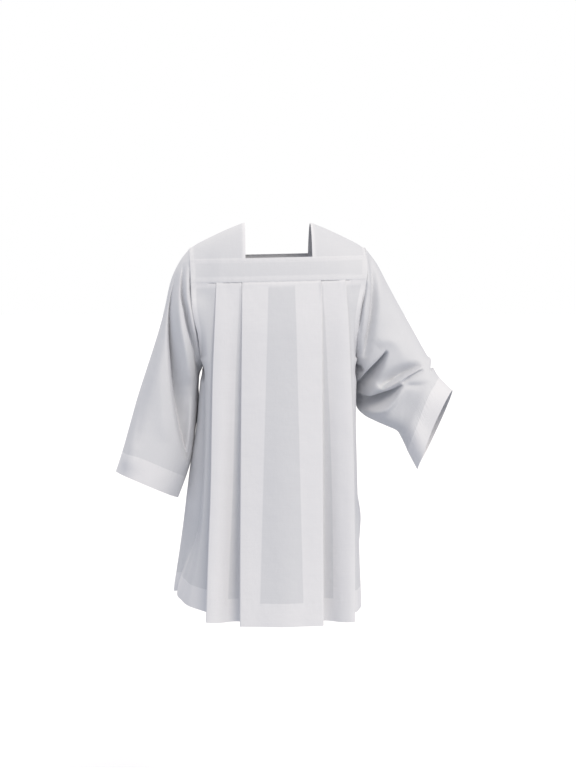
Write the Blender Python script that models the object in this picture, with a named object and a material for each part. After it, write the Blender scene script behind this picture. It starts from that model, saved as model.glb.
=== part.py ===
"""A surplice as worn: a square-necked white liturgical over-garment, hip length, with wide sleeves.

Every piece of cloth is a thin wall on its own sheet and the garment is hollow: neck, cuffs, hem and the two
underarm vents are open. Metres, +Z up. The origin lies midway between the two shoulder-neck points, where
the wearer's shoulders carry it. The front faces -Y and the wearer's left is +X.
"""

import math
from collections import namedtuple

import bpy
import numpy as np

# ---------------------------------------------------------------- driving dimensions (metres)
CLOTH = 0.0011  # thickness of the wall that stands for the woven cloth
LAYER_PITCH = 0.0016  # distance between the layers of a pressed pleat
SEAM_GAP = 0.0004  # gap between two pieces at a seam

SHOULDER_Y = 0.003  # the ridge of the shoulder, fore and aft
YOKE_SEAM_Z = -0.119  # where the pleated panels hang from the yoke
YOKE_TILT = 0.022  # rise of the yoke seams towards the raised left arm, per metre of width
FRONT_BAND_TOP_Z = -0.071  # top of the front band, which is the front of the square neck
BACK_BAND_TOP_Z = -0.064  # top of the back band, which is the back of the square neck
NECK_HALF_WIDTH = 0.0680

FRONT_HEM_Z = -0.811
BACK_HEM_Z = -0.800
SIDE_HEM_Z = {-1: -0.768, 1: -0.786}  # the hem at the right and the left side seam, where it is higher
HEM_RISE_STARTS_Z = -0.45
HEM_RISE_POWER = 3.2
HEM_DEPTH = 0.046  # the turned hem, where the cloth is double, at the foot and at the cuffs
HEM_STEP = 0.0012  # height over which the wall thickens to the hem

PLATEAU_PAST_FOLD = 0.003  # an underlay stays down this far past the fold that covers it
FOLD_RADIUS_AT_HEM = 0.0028

ARMHOLE_MID_Z = -0.176
ARMHOLE_HALF_HEIGHT = 0.124
ARMHOLE_HALF_DEPTH = 0.095
ARMHOLE_FOOT_Z = ARMHOLE_MID_Z - ARMHOLE_HALF_HEIGHT
VENT_BOW = 0.005  # how far the front edge of a vent bows in
VENT_TOP_Z = -0.276  # the front panel is sewn to the sleeve down to here
VENT_FOOT_Z = -0.322  # and to the back panel from here down

# ---------------------------------------------------------------- tables
Shoulder = namedtuple("Shoulder", "x ridge_z")
SHOULDER_LINE = [
    Shoulder(0.000, 0.004),
    Shoulder(0.069, 0.000),
    Shoulder(0.090, -0.007),
    Shoulder(0.118, -0.019),
    Shoulder(0.147, -0.033),
    Shoulder(0.165, -0.042),
    Shoulder(0.180, -0.052),
]

ArmholeEdge = namedtuple("ArmholeEdge", "z right_x left_x")
ARMHOLE_EDGE = [
    ArmholeEdge(-0.310, 0.1560, 0.1600),
    ArmholeEdge(-0.285, 0.1588, 0.1597),
    ArmholeEdge(-0.252, 0.1622, 0.1605),
    ArmholeEdge(-0.225, 0.1655, 0.1618),
    ArmholeEdge(-0.199, 0.1715, 0.1640),
    ArmholeEdge(-0.167, 0.1765, 0.1690),
    ArmholeEdge(-0.135, 0.1785, 0.1765),
    ArmholeEdge(-0.097, 0.1795, 0.1815),
    ArmholeEdge(-0.050, 0.1830, 0.1840),
]

# depths are measured outwards, to the front for the front panel and to the back for the back panel;
# inner and outer are the visible edges of the two pleats, at the wearer's right and left
Level = namedtuple("Level", "z centre_depth edge_depth inner_right inner_left outer_right outer_left")
FRONT_LEVELS = [
    Level(-0.830, 0.1810, 0.1610, 0.0795, 0.0835, 0.1485, 0.1483),
    Level(-0.676, 0.1630, 0.1450, 0.0790, 0.0840, 0.1435, 0.1494),
    Level(-0.544, 0.1520, 0.1350, 0.0780, 0.0840, 0.1385, 0.1490),
    Level(-0.414, 0.1425, 0.1265, 0.0770, 0.0840, 0.1360, 0.1465),
    Level(-0.311, 0.1340, 0.1185, 0.0760, 0.0840, 0.1340, 0.1430),
    Level(-0.209, 0.1235, 0.1105, 0.0750, 0.0840, 0.1300, 0.1390),
    Level(-0.119, 0.1050, 0.0950, 0.0740, 0.0830, 0.1260, 0.1335),
]
BACK_LEVELS = [
    Level(-0.830, 0.1520, 0.1340, 0.0830, 0.0840, 0.1500, 0.1480),
    Level(-0.676, 0.1410, 0.1240, 0.0810, 0.0830, 0.1460, 0.1480),
    Level(-0.544, 0.1300, 0.1130, 0.0790, 0.0830, 0.1420, 0.1460),
    Level(-0.414, 0.1220, 0.1060, 0.0775, 0.0825, 0.1380, 0.1430),
    Level(-0.311, 0.1240, 0.1090, 0.0770, 0.0830, 0.1350, 0.1390),
    Level(-0.209, 0.1210, 0.1070, 0.0770, 0.0830, 0.1310, 0.1370),
    Level(-0.119, 0.1000, 0.0920, 0.0755, 0.0815, 0.1275, 0.1335),
]

# how far a pleat's hidden folds lie back from its edge and how far in they are from the layer before them
Pleats = namedtuple("Pleats", "inner_depth inner_in outer_depth outer_in side_in")
PRESSED = Pleats(0.0520, LAYER_PITCH, 0.0470, LAYER_PITCH, 2 * LAYER_PITCH)
FRONT_OPENED = Pleats(0.0370, 0.0320, 0.0400, 0.0200, 0.0390)
BACK_OPENED = Pleats(0.0370, 0.0240, 0.0400, 0.0170, 0.0300)
OPENING_POWER = 1.1

# the side seam sits in a valley in front of the side's outline; tucked is 1 where the valley is sharp
Side = namedtuple("Side", "z seam_x seam_front tucked outline_x outline_back")
RIGHT_SIDE = [
    Side(-0.830, 0.2140, 0.030, 0.00, 0.2180, 0.000),
    Side(-0.765, 0.2110, 0.032, 0.00, 0.2170, 0.000),
    Side(-0.715, 0.1960, 0.042, 0.15, 0.2110, 0.000),
    Side(-0.675, 0.1810, 0.054, 0.40, 0.2045, 0.005),
    Side(-0.620, 0.1640, 0.066, 0.65, 0.1960, 0.010),
    Side(-0.555, 0.1570, 0.070, 0.80, 0.1870, 0.018),
    Side(-0.480, 0.1520, 0.070, 0.90, 0.1775, 0.022),
    Side(-0.417, 0.1495, 0.066, 1.00, 0.1682, 0.018),
    Side(-0.350, 0.1490, 0.063, 1.00, 0.1625, 0.012),
    Side(-0.310, 0.1500, 0.060, 1.00, 0.1575, 0.004),
]
LEFT_SIDE = [
    Side(-0.830, 0.1670, 0.040, 0.00, 0.1700, 0.000),
    Side(-0.785, 0.1660, 0.040, 0.00, 0.1710, 0.000),
    Side(-0.760, 0.1650, 0.042, 0.10, 0.1720, 0.000),
    Side(-0.697, 0.1610, 0.046, 0.30, 0.1680, 0.000),
    Side(-0.648, 0.1590, 0.050, 0.50, 0.1710, 0.000),
    Side(-0.612, 0.1570, 0.052, 0.60, 0.1720, 0.000),
    Side(-0.557, 0.1550, 0.052, 0.60, 0.1640, 0.005),
    Side(-0.473, 0.1530, 0.050, 0.60, 0.1590, 0.012),
    Side(-0.412, 0.1520, 0.048, 0.60, 0.1585, 0.018),
    Side(-0.350, 0.1540, 0.044, 0.60, 0.1600, 0.018),
    Side(-0.310, 0.1560, 0.040, 0.60, 0.1605, 0.005),
]

# below the arm a sleeve's front hangs flatter than an ellipse, by this power, from the first place to the second
HANGS_FLAT = 0.6
HANGS_FLAT_PLACES = (1.5, 4.5)

# a sleeve is a run of closed sections, each drawn about the line from its top to its under side;
# shift and lift move its front outwards and upwards
Section = namedtuple("Section", "top_x top_z under_x under_z mid_y half_depth front_shift front_lift")
RIGHT_SLEEVE = [
    Section(-0.1840, -0.0525, -0.1580, -0.3010, 0.002, 0.0950, 0.000, 0.000),
    Section(-0.2020, -0.0770, -0.1635, -0.3150, 0.001, 0.0960, 0.000, 0.000),
    Section(-0.2210, -0.1180, -0.1650, -0.3330, -0.003, 0.0930, 0.002, 0.000),
    Section(-0.2350, -0.1800, -0.1665, -0.3570, -0.008, 0.0890, 0.004, 0.000),
    Section(-0.2490, -0.2320, -0.1690, -0.3880, -0.013, 0.0870, 0.006, 0.002),
    Section(-0.2680, -0.2920, -0.1725, -0.4210, -0.018, 0.0870, 0.008, 0.004),
    Section(-0.2880, -0.3550, -0.1765, -0.4560, -0.022, 0.0880, 0.010, 0.008),
    Section(-0.3050, -0.4170, -0.1830, -0.4920, -0.026, 0.0900, 0.012, 0.012),
    Section(-0.3190, -0.4680, -0.1955, -0.5300, -0.030, 0.0920, 0.013, 0.016),
    Section(-0.3340, -0.5140, -0.2110, -0.5690, -0.033, 0.0940, 0.014, 0.019),
]
LEFT_SLEEVE = [
    Section(0.1845, -0.0525, 0.1615, -0.3010, 0.002, 0.0950, 0.000, 0.000),
    Section(0.2060, -0.0820, 0.1645, -0.3380, 0.001, 0.0950, 0.000, 0.000),
    Section(0.2280, -0.1240, 0.1655, -0.3800, -0.004, 0.0900, 0.000, 0.000),
    Section(0.2520, -0.1690, 0.1800, -0.3990, -0.012, 0.0850, -0.002, 0.000),
    Section(0.2770, -0.2140, 0.2010, -0.4090, -0.022, 0.0820, -0.005, 0.000),
    Section(0.2990, -0.2550, 0.2250, -0.4180, -0.034, 0.0800, -0.007, 0.000),
    Section(0.3160, -0.2870, 0.2450, -0.4260, -0.050, 0.0780, -0.009, 0.000),
    Section(0.3260, -0.3110, 0.2550, -0.4420, -0.070, 0.0750, -0.010, 0.000),
    Section(0.3410, -0.3290, 0.2670, -0.4690, -0.090, 0.0710, -0.011, 0.000),
    Section(0.3520, -0.3410, 0.2820, -0.4970, -0.110, 0.0670, -0.012, 0.000),
]

# a fold is a ridge, or with a negative height a valley, along a bent path on a sleeve. The path has three
# points, each a place counted in sections and an angle round the sleeve: 0 top, 90 front, 180 under side.
# Its half width goes from start to stop, and it is highest at peak, a share of its length.
Fold = namedtuple("Fold", "place_1 angle_1 place_2 angle_2 place_3 angle_3 start_width stop_width height peak")
RIGHT_SLEEVE_FOLDS = [
    Fold(1.7, 26, 3.5, 84, 7.6, 170, 0.013, 0.016, -0.013, 0.45),
    Fold(0.8, 36, 1.4, 86, 3.0, 146, 0.010, 0.014, -0.009, 0.50),
    Fold(1.3, 30, 2.6, 98, 5.6, 156, 0.014, 0.018, 0.006, 0.45),
    Fold(1.5, 330, 3.6, 268, 7.0, 196, 0.016, 0.018, -0.011, 0.50),
    Fold(0.9, 318, 1.8, 268, 3.4, 216, 0.012, 0.016, -0.007, 0.50),
]
LEFT_SLEEVE_FOLDS = [
    Fold(3.30, 62, 2.5, 106, 0.8, 160, 0.016, 0.024, -0.019, 0.60),
    Fold(5.80, 36, 4.4, 90, 2.7, 124, 0.014, 0.016, 0.007, 0.60),
    Fold(5.10, 84, 4.0, 112, 1.7, 166, 0.015, 0.022, -0.018, 0.60),
    Fold(4.90, 300, 3.6, 256, 1.4, 206, 0.022, 0.028, -0.012, 0.60),
    Fold(6.40, 302, 4.9, 246, 3.0, 200, 0.022, 0.026, -0.009, 0.55),
]

# ---------------------------------------------------------------- mesh density
UPPER_ROWS_Z = [-0.119, -0.152, -0.186, -0.219, -0.250, -0.276, -0.300, -0.322, -0.385]
LOWER_ROWS = [0.0, 0.23, 0.46, 0.68]  # shares of the height between where the hem's rise starts and the hem
SIDE_STEPS = 7
SIDE_FLUSH_AT = 0.150  # at the yoke the outermost underlay has come flush by here
BAND_COLUMNS = 20
BAND_ROWS = 3
STRAP_COLUMNS = 7
STRAP_ROWS = 8
RIGHT_SLEEVE_ROWS = [0.0, 0.06, 0.12] + [0.12 + 0.042 * k for k in range(1, 15)] + [0.78, 0.86, 0.93, 1.0]
LEFT_SLEEVE_ROWS = [0.0, 0.06, 0.12] + [0.12 + 0.035 * k for k in range(1, 15)] + [0.70, 0.80, 0.90, 1.0]
COLUMN_SAMPLES = 60
FOLD_STEPS = 8
SECTION_LENGTH = 0.045  # distance between a sleeve's sections, near enough to measure a fold's width

Stop = namedtuple("Stop", "place angle")
FORWARD = np.array((0.0, -1.0))  # along a side, from the back to the front, as a change of distance and depth


# ---------------------------------------------------------------- helpers
def mix(a, b, share):
    return a + (b - a) * share


def smoothstep(value, low, high):
    t = min(max((value - low) / (high - low), 0.0), 1.0)
    return t * t * (3 - 2 * t)


def hermite(t, start, leave, end, arrive):
    """A point at t, 0 to 1, of the curve between two ends with the given slopes there."""
    t2, t3 = t * t, t * t * t
    return (2 * t3 - 3 * t2 + 1) * start + (t3 - 2 * t2 + t) * leave + (3 * t2 - 2 * t3) * end + (t3 - t2) * arrive


def row_at(rows, keys, at):
    """A table's row at any key, on a smooth curve through its rows."""
    at = min(max(at, keys[0]), keys[-1])
    last = len(keys) - 1
    i = max(k for k in range(last) if keys[k] <= at)
    step = keys[i + 1] - keys[i]

    def slope(k, column):
        low, high = max(k - 1, 0), min(k + 1, last)
        return (rows[high][column] - rows[low][column]) / (keys[high] - keys[low]) * step

    t = (at - keys[i]) / step
    columns = range(len(rows[0]))
    values = [hermite(t, rows[i][c], slope(i, c), rows[i + 1][c], slope(i + 1, c)) for c in columns]
    return type(rows[0])(*values)


def at_first(table, key):
    return row_at(table, [row[0] for row in table], key)


def yoke_seam_z(x):
    return YOKE_SEAM_Z + YOKE_TILT * x


def armhole_x(z, side):
    edge = at_first(ARMHOLE_EDGE, z)
    return edge.right_x if side < 0 else edge.left_x


def armhole_depth(z, face):
    """How far out the armhole's edge is at a height, in front (face -1) or behind (face 1)."""
    up = min(max((z - ARMHOLE_MID_Z) / ARMHOLE_HALF_HEIGHT, -1.0), 1.0)
    return ARMHOLE_HALF_DEPTH * math.sqrt(1 - up * up) + face * SHOULDER_Y


def levels_of(face):
    return FRONT_LEVELS if face < 0 else BACK_LEVELS


# ---------------------------------------------------------------- pleated panels
def pleat_edges(level, side):
    """The distances of the inner and the outer pleat's visible edges from the centre."""
    return (level.inner_right, level.outer_right) if side < 0 else (level.inner_left, level.outer_left)


def seam_line_depth(x, side, face):
    """How far out the seam between yoke and panel is at x, a distance from the centre."""
    level = at_first(levels_of(face), YOKE_SEAM_Z)
    outer_x = pleat_edges(level, side)[1]
    flush = mix(level.centre_depth, level.edge_depth, (x / outer_x) ** 2)
    end_x = armhole_x(YOKE_SEAM_Z, side)
    return mix(flush, armhole_depth(YOKE_SEAM_Z, face), smoothstep(x, outer_x - 0.01, end_x + 0.01))


def pleats_at(face, z):
    """Where the pleats' hidden folds lie at a height, pressed at the yoke and opened at the hem."""
    down = min(max((YOKE_SEAM_Z - z) / (YOKE_SEAM_Z - FRONT_HEM_Z), 0.0), 1.0)
    opened = down**OPENING_POWER
    hem = FRONT_OPENED if face < 0 else BACK_OPENED
    here = Pleats(*(mix(a, b, opened) for a, b in zip(PRESSED, hem)))
    return here, mix(LAYER_PITCH / 2, FOLD_RADIUS_AT_HEM, opened)


def side_row(side, z):
    return at_first(RIGHT_SIDE if side < 0 else LEFT_SIDE, z)


def side_end(face, side, z):
    """Where a panel's side edge is at a height, as distance and depth, and the way the cloth runs into it."""
    if z >= (VENT_TOP_Z if face < 0 else ARMHOLE_FOOT_Z) - 1e-6:
        turned = smoothstep(-z, 0.16, 0.31)
        way = np.array((mix(1.0, 0.10, turned), mix(-0.30, -1.0, turned)))
        return np.array((armhole_x(z, side), armhole_depth(z, face))), way / np.linalg.norm(way)
    row = side_row(side, min(z, VENT_FOOT_Z))
    seam = np.array((row.seam_x, -face * row.seam_front))
    flush = np.array((face * 0.10, -1.0))
    valley = np.array((-0.35, -1.0)) if face < 0 else np.array((-1.0, -0.45))
    way = mix(flush, valley, row.tucked)
    way /= np.linalg.norm(way)
    seam = seam - way * mix(SEAM_GAP / 2, CLOTH / 2 + SEAM_GAP, row.tucked)
    if z > VENT_FOOT_Z:
        top = VENT_TOP_Z if face < 0 else ARMHOLE_FOOT_Z
        edge = np.array((armhole_x(top, side), armhole_depth(top, face)))
        down = (z - top) / (VENT_FOOT_Z - top)
        seam = mix(edge, seam, down) - np.array((VENT_BOW * math.sin(math.pi * down), 0.0))
    return seam, way


def fold_round(x, outer, inner, bulge, steps):
    """The points of a fold at x from the outer layer to the inner, bulging to +x or -x; the first is left out."""
    radius = (outer - inner) / 2
    angles = [math.pi * (k + 1) / steps for k in range(steps)]
    return [(x + bulge * radius * math.sin(a), outer - radius * (1 - math.cos(a))) for a in angles]


def half_section(face, side, z, side_z):
    """A panel's section from its centre line to its side edge, as (distance from centre, outward depth)."""
    level = at_first(levels_of(face), z)
    pleats, radius = pleats_at(face, z)
    inner_x, outer_x = pleat_edges(level, side)
    fold_1, fold_2 = inner_x - pleats.inner_depth, outer_x - pleats.outer_depth
    clear_1, clear_2 = inner_x + PLATEAU_PAST_FOLD, outer_x + PLATEAU_PAST_FOLD
    fold_2 = max(fold_2, clear_1 + PLATEAU_PAST_FOLD)
    pitch = 2 * radius

    def face_at(x):
        return mix(level.centre_depth, level.edge_depth, (x / outer_x) ** 2)

    def return_1(x):
        return face_at(x) - mix(pleats.inner_in, pitch, (x - fold_1) / (inner_x - fold_1))

    def middle(x):
        return face_at(x) - (pleats.inner_in + pitch) * (1 - smoothstep(x, clear_1, outer_x))

    def return_2(x):
        return middle(x) - mix(pleats.outer_in, pitch, (x - fold_2) / (outer_x - fold_2))

    def side_layer(x):
        return middle(x) - mix(pleats.outer_in + pitch, pleats.side_in, (x - fold_2) / (outer_x - fold_2))

    between = mix(clear_1, fold_2, 0.5)
    under_2 = mix(fold_2, outer_x, 0.5)
    points = [(x, face_at(x)) for x in (0.0, fold_1, inner_x)]
    points += fold_round(inner_x, face_at(inner_x), return_1(inner_x), 1, 4)
    points.append((fold_1, return_1(fold_1)))
    points += fold_round(fold_1, return_1(fold_1), middle(fold_1), -1, 2)
    points += [(x, middle(x)) for x in (inner_x, clear_1, between, fold_2, under_2, outer_x)]
    points += fold_round(outer_x, middle(outer_x), return_2(outer_x), 1, 4)
    points += [(x, return_2(x)) for x in (under_2, fold_2)]
    points += fold_round(fold_2, return_2(fold_2), side_layer(fold_2), -1, 2)
    points += [(x, side_layer(x)) for x in (under_2, outer_x, clear_2)]

    start = np.array(points[-1])
    leave = start - np.array(points[-2])
    leave /= np.linalg.norm(leave)
    end, arrive = side_end(face, side, side_z)
    spans = [(start, leave, end, arrive, SIDE_STEPS)]
    if face > 0 and side_z < ARMHOLE_FOOT_Z:
        row = side_row(side, side_z)
        outline = np.array((row.outline_x, row.outline_back))
        spans = [(start, leave, outline, FORWARD, SIDE_STEPS - 3), (outline, FORWARD, end, arrive, 3)]
    run = [start]
    for a, out_way, b, in_way, steps in spans:
        leave_by = out_way * 1.5 * max((b - a) @ out_way, 0.25 * np.linalg.norm(b - a))
        arrive_by = in_way * 1.5 * max((b - a) @ in_way, 0.25 * np.linalg.norm(b - a))
        run += [hermite((k + 1) / steps, a, leave_by, b, arrive_by) for k in range(steps)]
    sunk = seam_line_depth(clear_2, side, face) - start[1]
    free = smoothstep(-z, -YOKE_SEAM_Z, 0.175)
    for k in range(1, SIDE_STEPS + 1):
        x = mix(start[0], end[0], k / SIDE_STEPS)
        flat = np.array((x, seam_line_depth(x, side, face) - sunk * (1 - smoothstep(x, clear_2, SIDE_FLUSH_AT))))
        points.append(tuple(mix(flat, run[k], free)))
    return points


def panel_row(face, upper_z, share):
    """A panel's points from the wearer's right to the left; share counts down from upper_z to the hem."""
    hem_z = FRONT_HEM_Z if face < 0 else BACK_HEM_Z
    base_z = mix(upper_z, hem_z, share)
    row = []
    for side in (-1, 1):
        section = half_section(face, side, base_z, mix(upper_z, SIDE_HEM_Z[side], share))
        lengths = np.cumsum([0] + [math.dist(a, b) for a, b in zip(section, section[1:])])
        tilt = YOKE_TILT * (1 - smoothstep(-base_z, -YOKE_SEAM_Z, 0.26))
        drop = SEAM_GAP if base_z == YOKE_SEAM_Z else 0.0
        half = []
        for (x, depth), run in zip(section, lengths / lengths[-1]):
            rise = (SIDE_HEM_Z[side] - hem_z) * run**HEM_RISE_POWER * share
            half.append((side * x, face * depth, base_z + rise + tilt * side * x - drop))
        row = half[::-1] + row if side < 0 else row + half[1:]
    return row


def panel_rows(face):
    """All the rows of a panel; the last two carry the turned hem."""
    hem_share = HEM_DEPTH / (HEM_RISE_STARTS_Z - FRONT_HEM_Z)
    step_share = HEM_STEP / (HEM_RISE_STARTS_Z - FRONT_HEM_Z)
    shares = LOWER_ROWS + [1 - hem_share - step_share, 1 - hem_share, 1.0]
    rows = [panel_row(face, z, 0.0) for z in UPPER_ROWS_Z]
    return rows + [panel_row(face, HEM_RISE_STARTS_Z, share) for share in shares]


# ---------------------------------------------------------------- yoke
TIP_Z = ARMHOLE_MID_Z + ARMHOLE_HALF_HEIGHT
SEAM_TURN = math.acos(1 - (TIP_Z - YOKE_SEAM_Z) / ARMHOLE_HALF_HEIGHT)


def yoke_edge_x(turn, side):
    return armhole_x(TIP_Z - ARMHOLE_HALF_HEIGHT * (1 - math.cos(turn)), side)


def yoke_point(x, turn, face):
    """A point of the yoke at x and at an angle from the ridge towards a lower seam."""
    ridge = at_first(SHOULDER_LINE, abs(x)).ridge_z
    height = (ridge - yoke_seam_z(x)) / (1 - math.cos(SEAM_TURN))
    side = -1 if x < 0 else 1
    depth = (seam_line_depth(abs(x), side, face) - face * SHOULDER_Y) / math.sin(SEAM_TURN)
    return (x, SHOULDER_Y + face * depth * math.sin(turn), ridge - height * (1 - math.cos(turn)))


def turn_at_band_top(x, face):
    """The angle from the ridge at which the yoke is as high as the band's top seam."""
    flat_top = FRONT_BAND_TOP_Z if face < 0 else BACK_BAND_TOP_Z
    ridge = at_first(SHOULDER_LINE, abs(x)).ridge_z
    share = (ridge - flat_top - YOKE_TILT * x) / (ridge - yoke_seam_z(x))
    return math.acos(1 - share * (1 - math.cos(SEAM_TURN)))


def band_rows(face):
    """A straight band of the yoke, right across, from its top seam down to its lower one."""
    rows = []
    for i in range(BAND_ROWS + 1):
        row = []
        for k in range(BAND_COLUMNS + 1):
            share = mix(-1.0, 1.0, k / BAND_COLUMNS)
            side = -1 if share < 0 else 1
            guess = share * yoke_edge_x(SEAM_TURN / 2, side)
            turn = mix(turn_at_band_top(guess, face), SEAM_TURN, i / BAND_ROWS)
            row.append(yoke_point(share * yoke_edge_x(turn, side), turn, face))
        rows.append(row)
    return rows


def strap_rows(side):
    """A shoulder piece, from the front band over the ridge to the back band."""
    half = STRAP_ROWS // 2
    rows = []
    for i in range(STRAP_ROWS + 1):
        face = -1 if i <= half else 1
        along = abs(half - i) / half
        row = []
        for k in range(STRAP_COLUMNS + 1):
            guess = side * mix(NECK_HALF_WIDTH, yoke_edge_x(SEAM_TURN / 2, side), k / STRAP_COLUMNS)
            turn = (turn_at_band_top(guess, face) - 1.5 * SEAM_GAP / ARMHOLE_HALF_HEIGHT) * along
            x = side * mix(NECK_HALF_WIDTH, yoke_edge_x(turn, side), k / STRAP_COLUMNS)
            row.append(yoke_point(x, turn, face))
        rows.append(row)
    return rows


# ---------------------------------------------------------------- sleeves
def armhole_line(side, front, back, front_band, back_band, strap):
    """The body's edge round an armhole, from the shoulder tip down the front and up the back."""
    outer = 0 if side < 0 else -1
    half = STRAP_ROWS // 2
    line = [strap[i][-1] for i in range(half, 0, -1)]
    line += [row[outer] for row in front_band[:-1]]
    line += [row[outer] for row, z in zip(front, UPPER_ROWS_Z) if z >= VENT_TOP_Z]
    for z in (-0.289, -0.297):
        line.append((side * armhole_x(z, side), -armhole_depth(z, -1), z))
    line += [row[outer] for row, z in zip(back, UPPER_ROWS_Z) if z >= ARMHOLE_FOOT_Z - 1e-6][::-1]
    line += [row[outer] for row in back_band[:-1]][::-1]
    line += [strap[i][-1] for i in range(STRAP_ROWS - 1, half, -1)]
    return line


def angle_round(point):
    """The angle of a point of the armhole, from the shoulder tip through the front, in degrees."""
    ahead = (SHOULDER_Y - point[1]) / ARMHOLE_HALF_DEPTH
    up = (point[2] - ARMHOLE_MID_Z) / ARMHOLE_HALF_HEIGHT
    return math.degrees(math.atan2(ahead, up)) % 360


def fold_path(fold):
    """The points of a fold's bent path."""
    stops = [
        Stop(fold.place_1, fold.angle_1),
        Stop(fold.place_2, fold.angle_2),
        Stop(fold.place_3, fold.angle_3),
    ]
    return [row_at(stops, [0.0, 0.5, 1.0], k / FOLD_STEPS) for k in range(FOLD_STEPS + 1)]


def fold_heights(folds, paths, place, angle, girth):
    """How far the folds push the sleeve's cloth outwards at a place along it and an angle round it."""
    total = 0.0
    for fold, path in zip(folds, paths):
        nearest = None
        for k, (a, b) in enumerate(zip(path, path[1:])):
            ax, ay = (place - a.place) * SECTION_LENGTH, ((angle - a.angle + 180) % 360 - 180) / 360 * girth
            bx, by = (b.place - a.place) * SECTION_LENGTH, ((b.angle - a.angle + 180) % 360 - 180) / 360 * girth
            t = min(max((ax * bx + ay * by) / (bx * bx + by * by), 0.0), 1.0)
            away = math.hypot(ax - t * bx, ay - t * by)
            if nearest is None or away < nearest[0]:
                nearest = (away, (k + t) / FOLD_STEPS)
        away, along = nearest
        rise = along / fold.peak if along < fold.peak else (1 - along) / (1 - fold.peak)
        width = mix(fold.start_width, fold.stop_width, along)
        total += fold.height * smoothstep(rise, 0.0, 1.0) * math.exp(-((away / width) ** 2))
    return total


def drawn_section(row, angle, side, flat):
    """A point of a sleeve's section without folds, and the way outwards; flat is 1 where it hangs below the arm."""
    top = np.array((row.top_x, row.mid_y, row.top_z))
    under = np.array((row.under_x, row.mid_y, row.under_z))
    up = (top - under) / 2
    ahead = np.array((side * row.front_shift, -row.half_depth, row.front_lift))
    cos, sin = math.cos(math.radians(angle)), math.sin(math.radians(angle))
    girth = 2 * math.pi * math.sqrt((up @ up + ahead @ ahead) / 2)
    out = up / np.linalg.norm(up) * cos + ahead / np.linalg.norm(ahead) * sin
    if cos < 0 < sin:
        sin = sin ** mix(1.0, HANGS_FLAT, flat)
    return (top + under) / 2 + up * cos + ahead * sin, out, girth


def sleeve_column(sections, folds, paths, side, armhole_point):
    """A line of the sleeve's cloth from a point of the armhole to the cuff."""
    angle = angle_round(armhole_point)
    turned_under = smoothstep(abs(180 - angle), 120, 30) if abs(180 - angle) > 30 else 1.0
    clear = side * (SEAM_GAP + CLOTH * turned_under)
    start = np.array(armhole_point) + np.array((clear, 0.0, 0.0))
    first = drawn_section(sections[0], angle, side, 0.0)[0]
    line = []
    for k in range(COLUMN_SAMPLES + 1):
        place = (len(sections) - 1) * k / COLUMN_SAMPLES
        row = row_at(sections, list(range(len(sections))), place)
        point, out, girth = drawn_section(row, angle, side, smoothstep(place, *HANGS_FLAT_PLACES))
        point = point + (start - first) * (1 - smoothstep(place, 0.0, 1.5))
        line.append(point + out * fold_heights(folds, paths, place, angle, girth))
    return np.array(line)


def sleeve_rows(sections, folds, side, armhole, shares):
    """The rows of a sleeve at shares of its length; two more carry the turned hem of the cuff."""
    paths = [fold_path(fold) for fold in folds]
    columns = []
    for point in armhole:
        line = sleeve_column(sections, folds, paths, side, point)
        run = np.concatenate(([0.0], np.cumsum(np.linalg.norm(np.diff(line, axis=0), axis=1))))
        to_hem = run[-1] - HEM_DEPTH - HEM_STEP
        stops = [to_hem * share for share in shares] + [to_hem + HEM_STEP, run[-1]]
        columns.append([tuple(np.interp(stop, run, line[:, axis]) for axis in range(3)) for stop in stops])
    return [list(row) for row in zip(*columns)]


def split_line(line, parts):
    """A closed line of points with each side split into a number of parts."""
    fine = []
    for k, point in enumerate(line):
        following = line[(k + 1) % len(line)]
        for part in range(parts[k]):
            fine.append(tuple(mix(a, b, part / parts[k]) for a, b in zip(point, following)))
    return fine


# ---------------------------------------------------------------- Blender objects
def cloth_material(name):
    material = bpy.data.materials.new(name)
    material.use_nodes = True
    shader = material.node_tree.nodes["Principled BSDF"]
    shader.inputs["Base Color"].default_value = (0.80, 0.81, 0.84, 1.0)
    shader.inputs["Roughness"].default_value = 0.85
    shader.inputs["Metallic"].default_value = 0.0
    return material


def cloth_normals(points, closed, facing):
    """The outward way at every point of a sheet of cloth."""
    down = np.gradient(points, axis=0)
    if closed:
        across = np.roll(points, -1, axis=1) - np.roll(points, 1, axis=1)
    else:
        across = np.gradient(points, axis=1, edge_order=2)
    normals = facing * np.cross(across, down)
    return normals / np.linalg.norm(normals, axis=2, keepdims=True)


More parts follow.
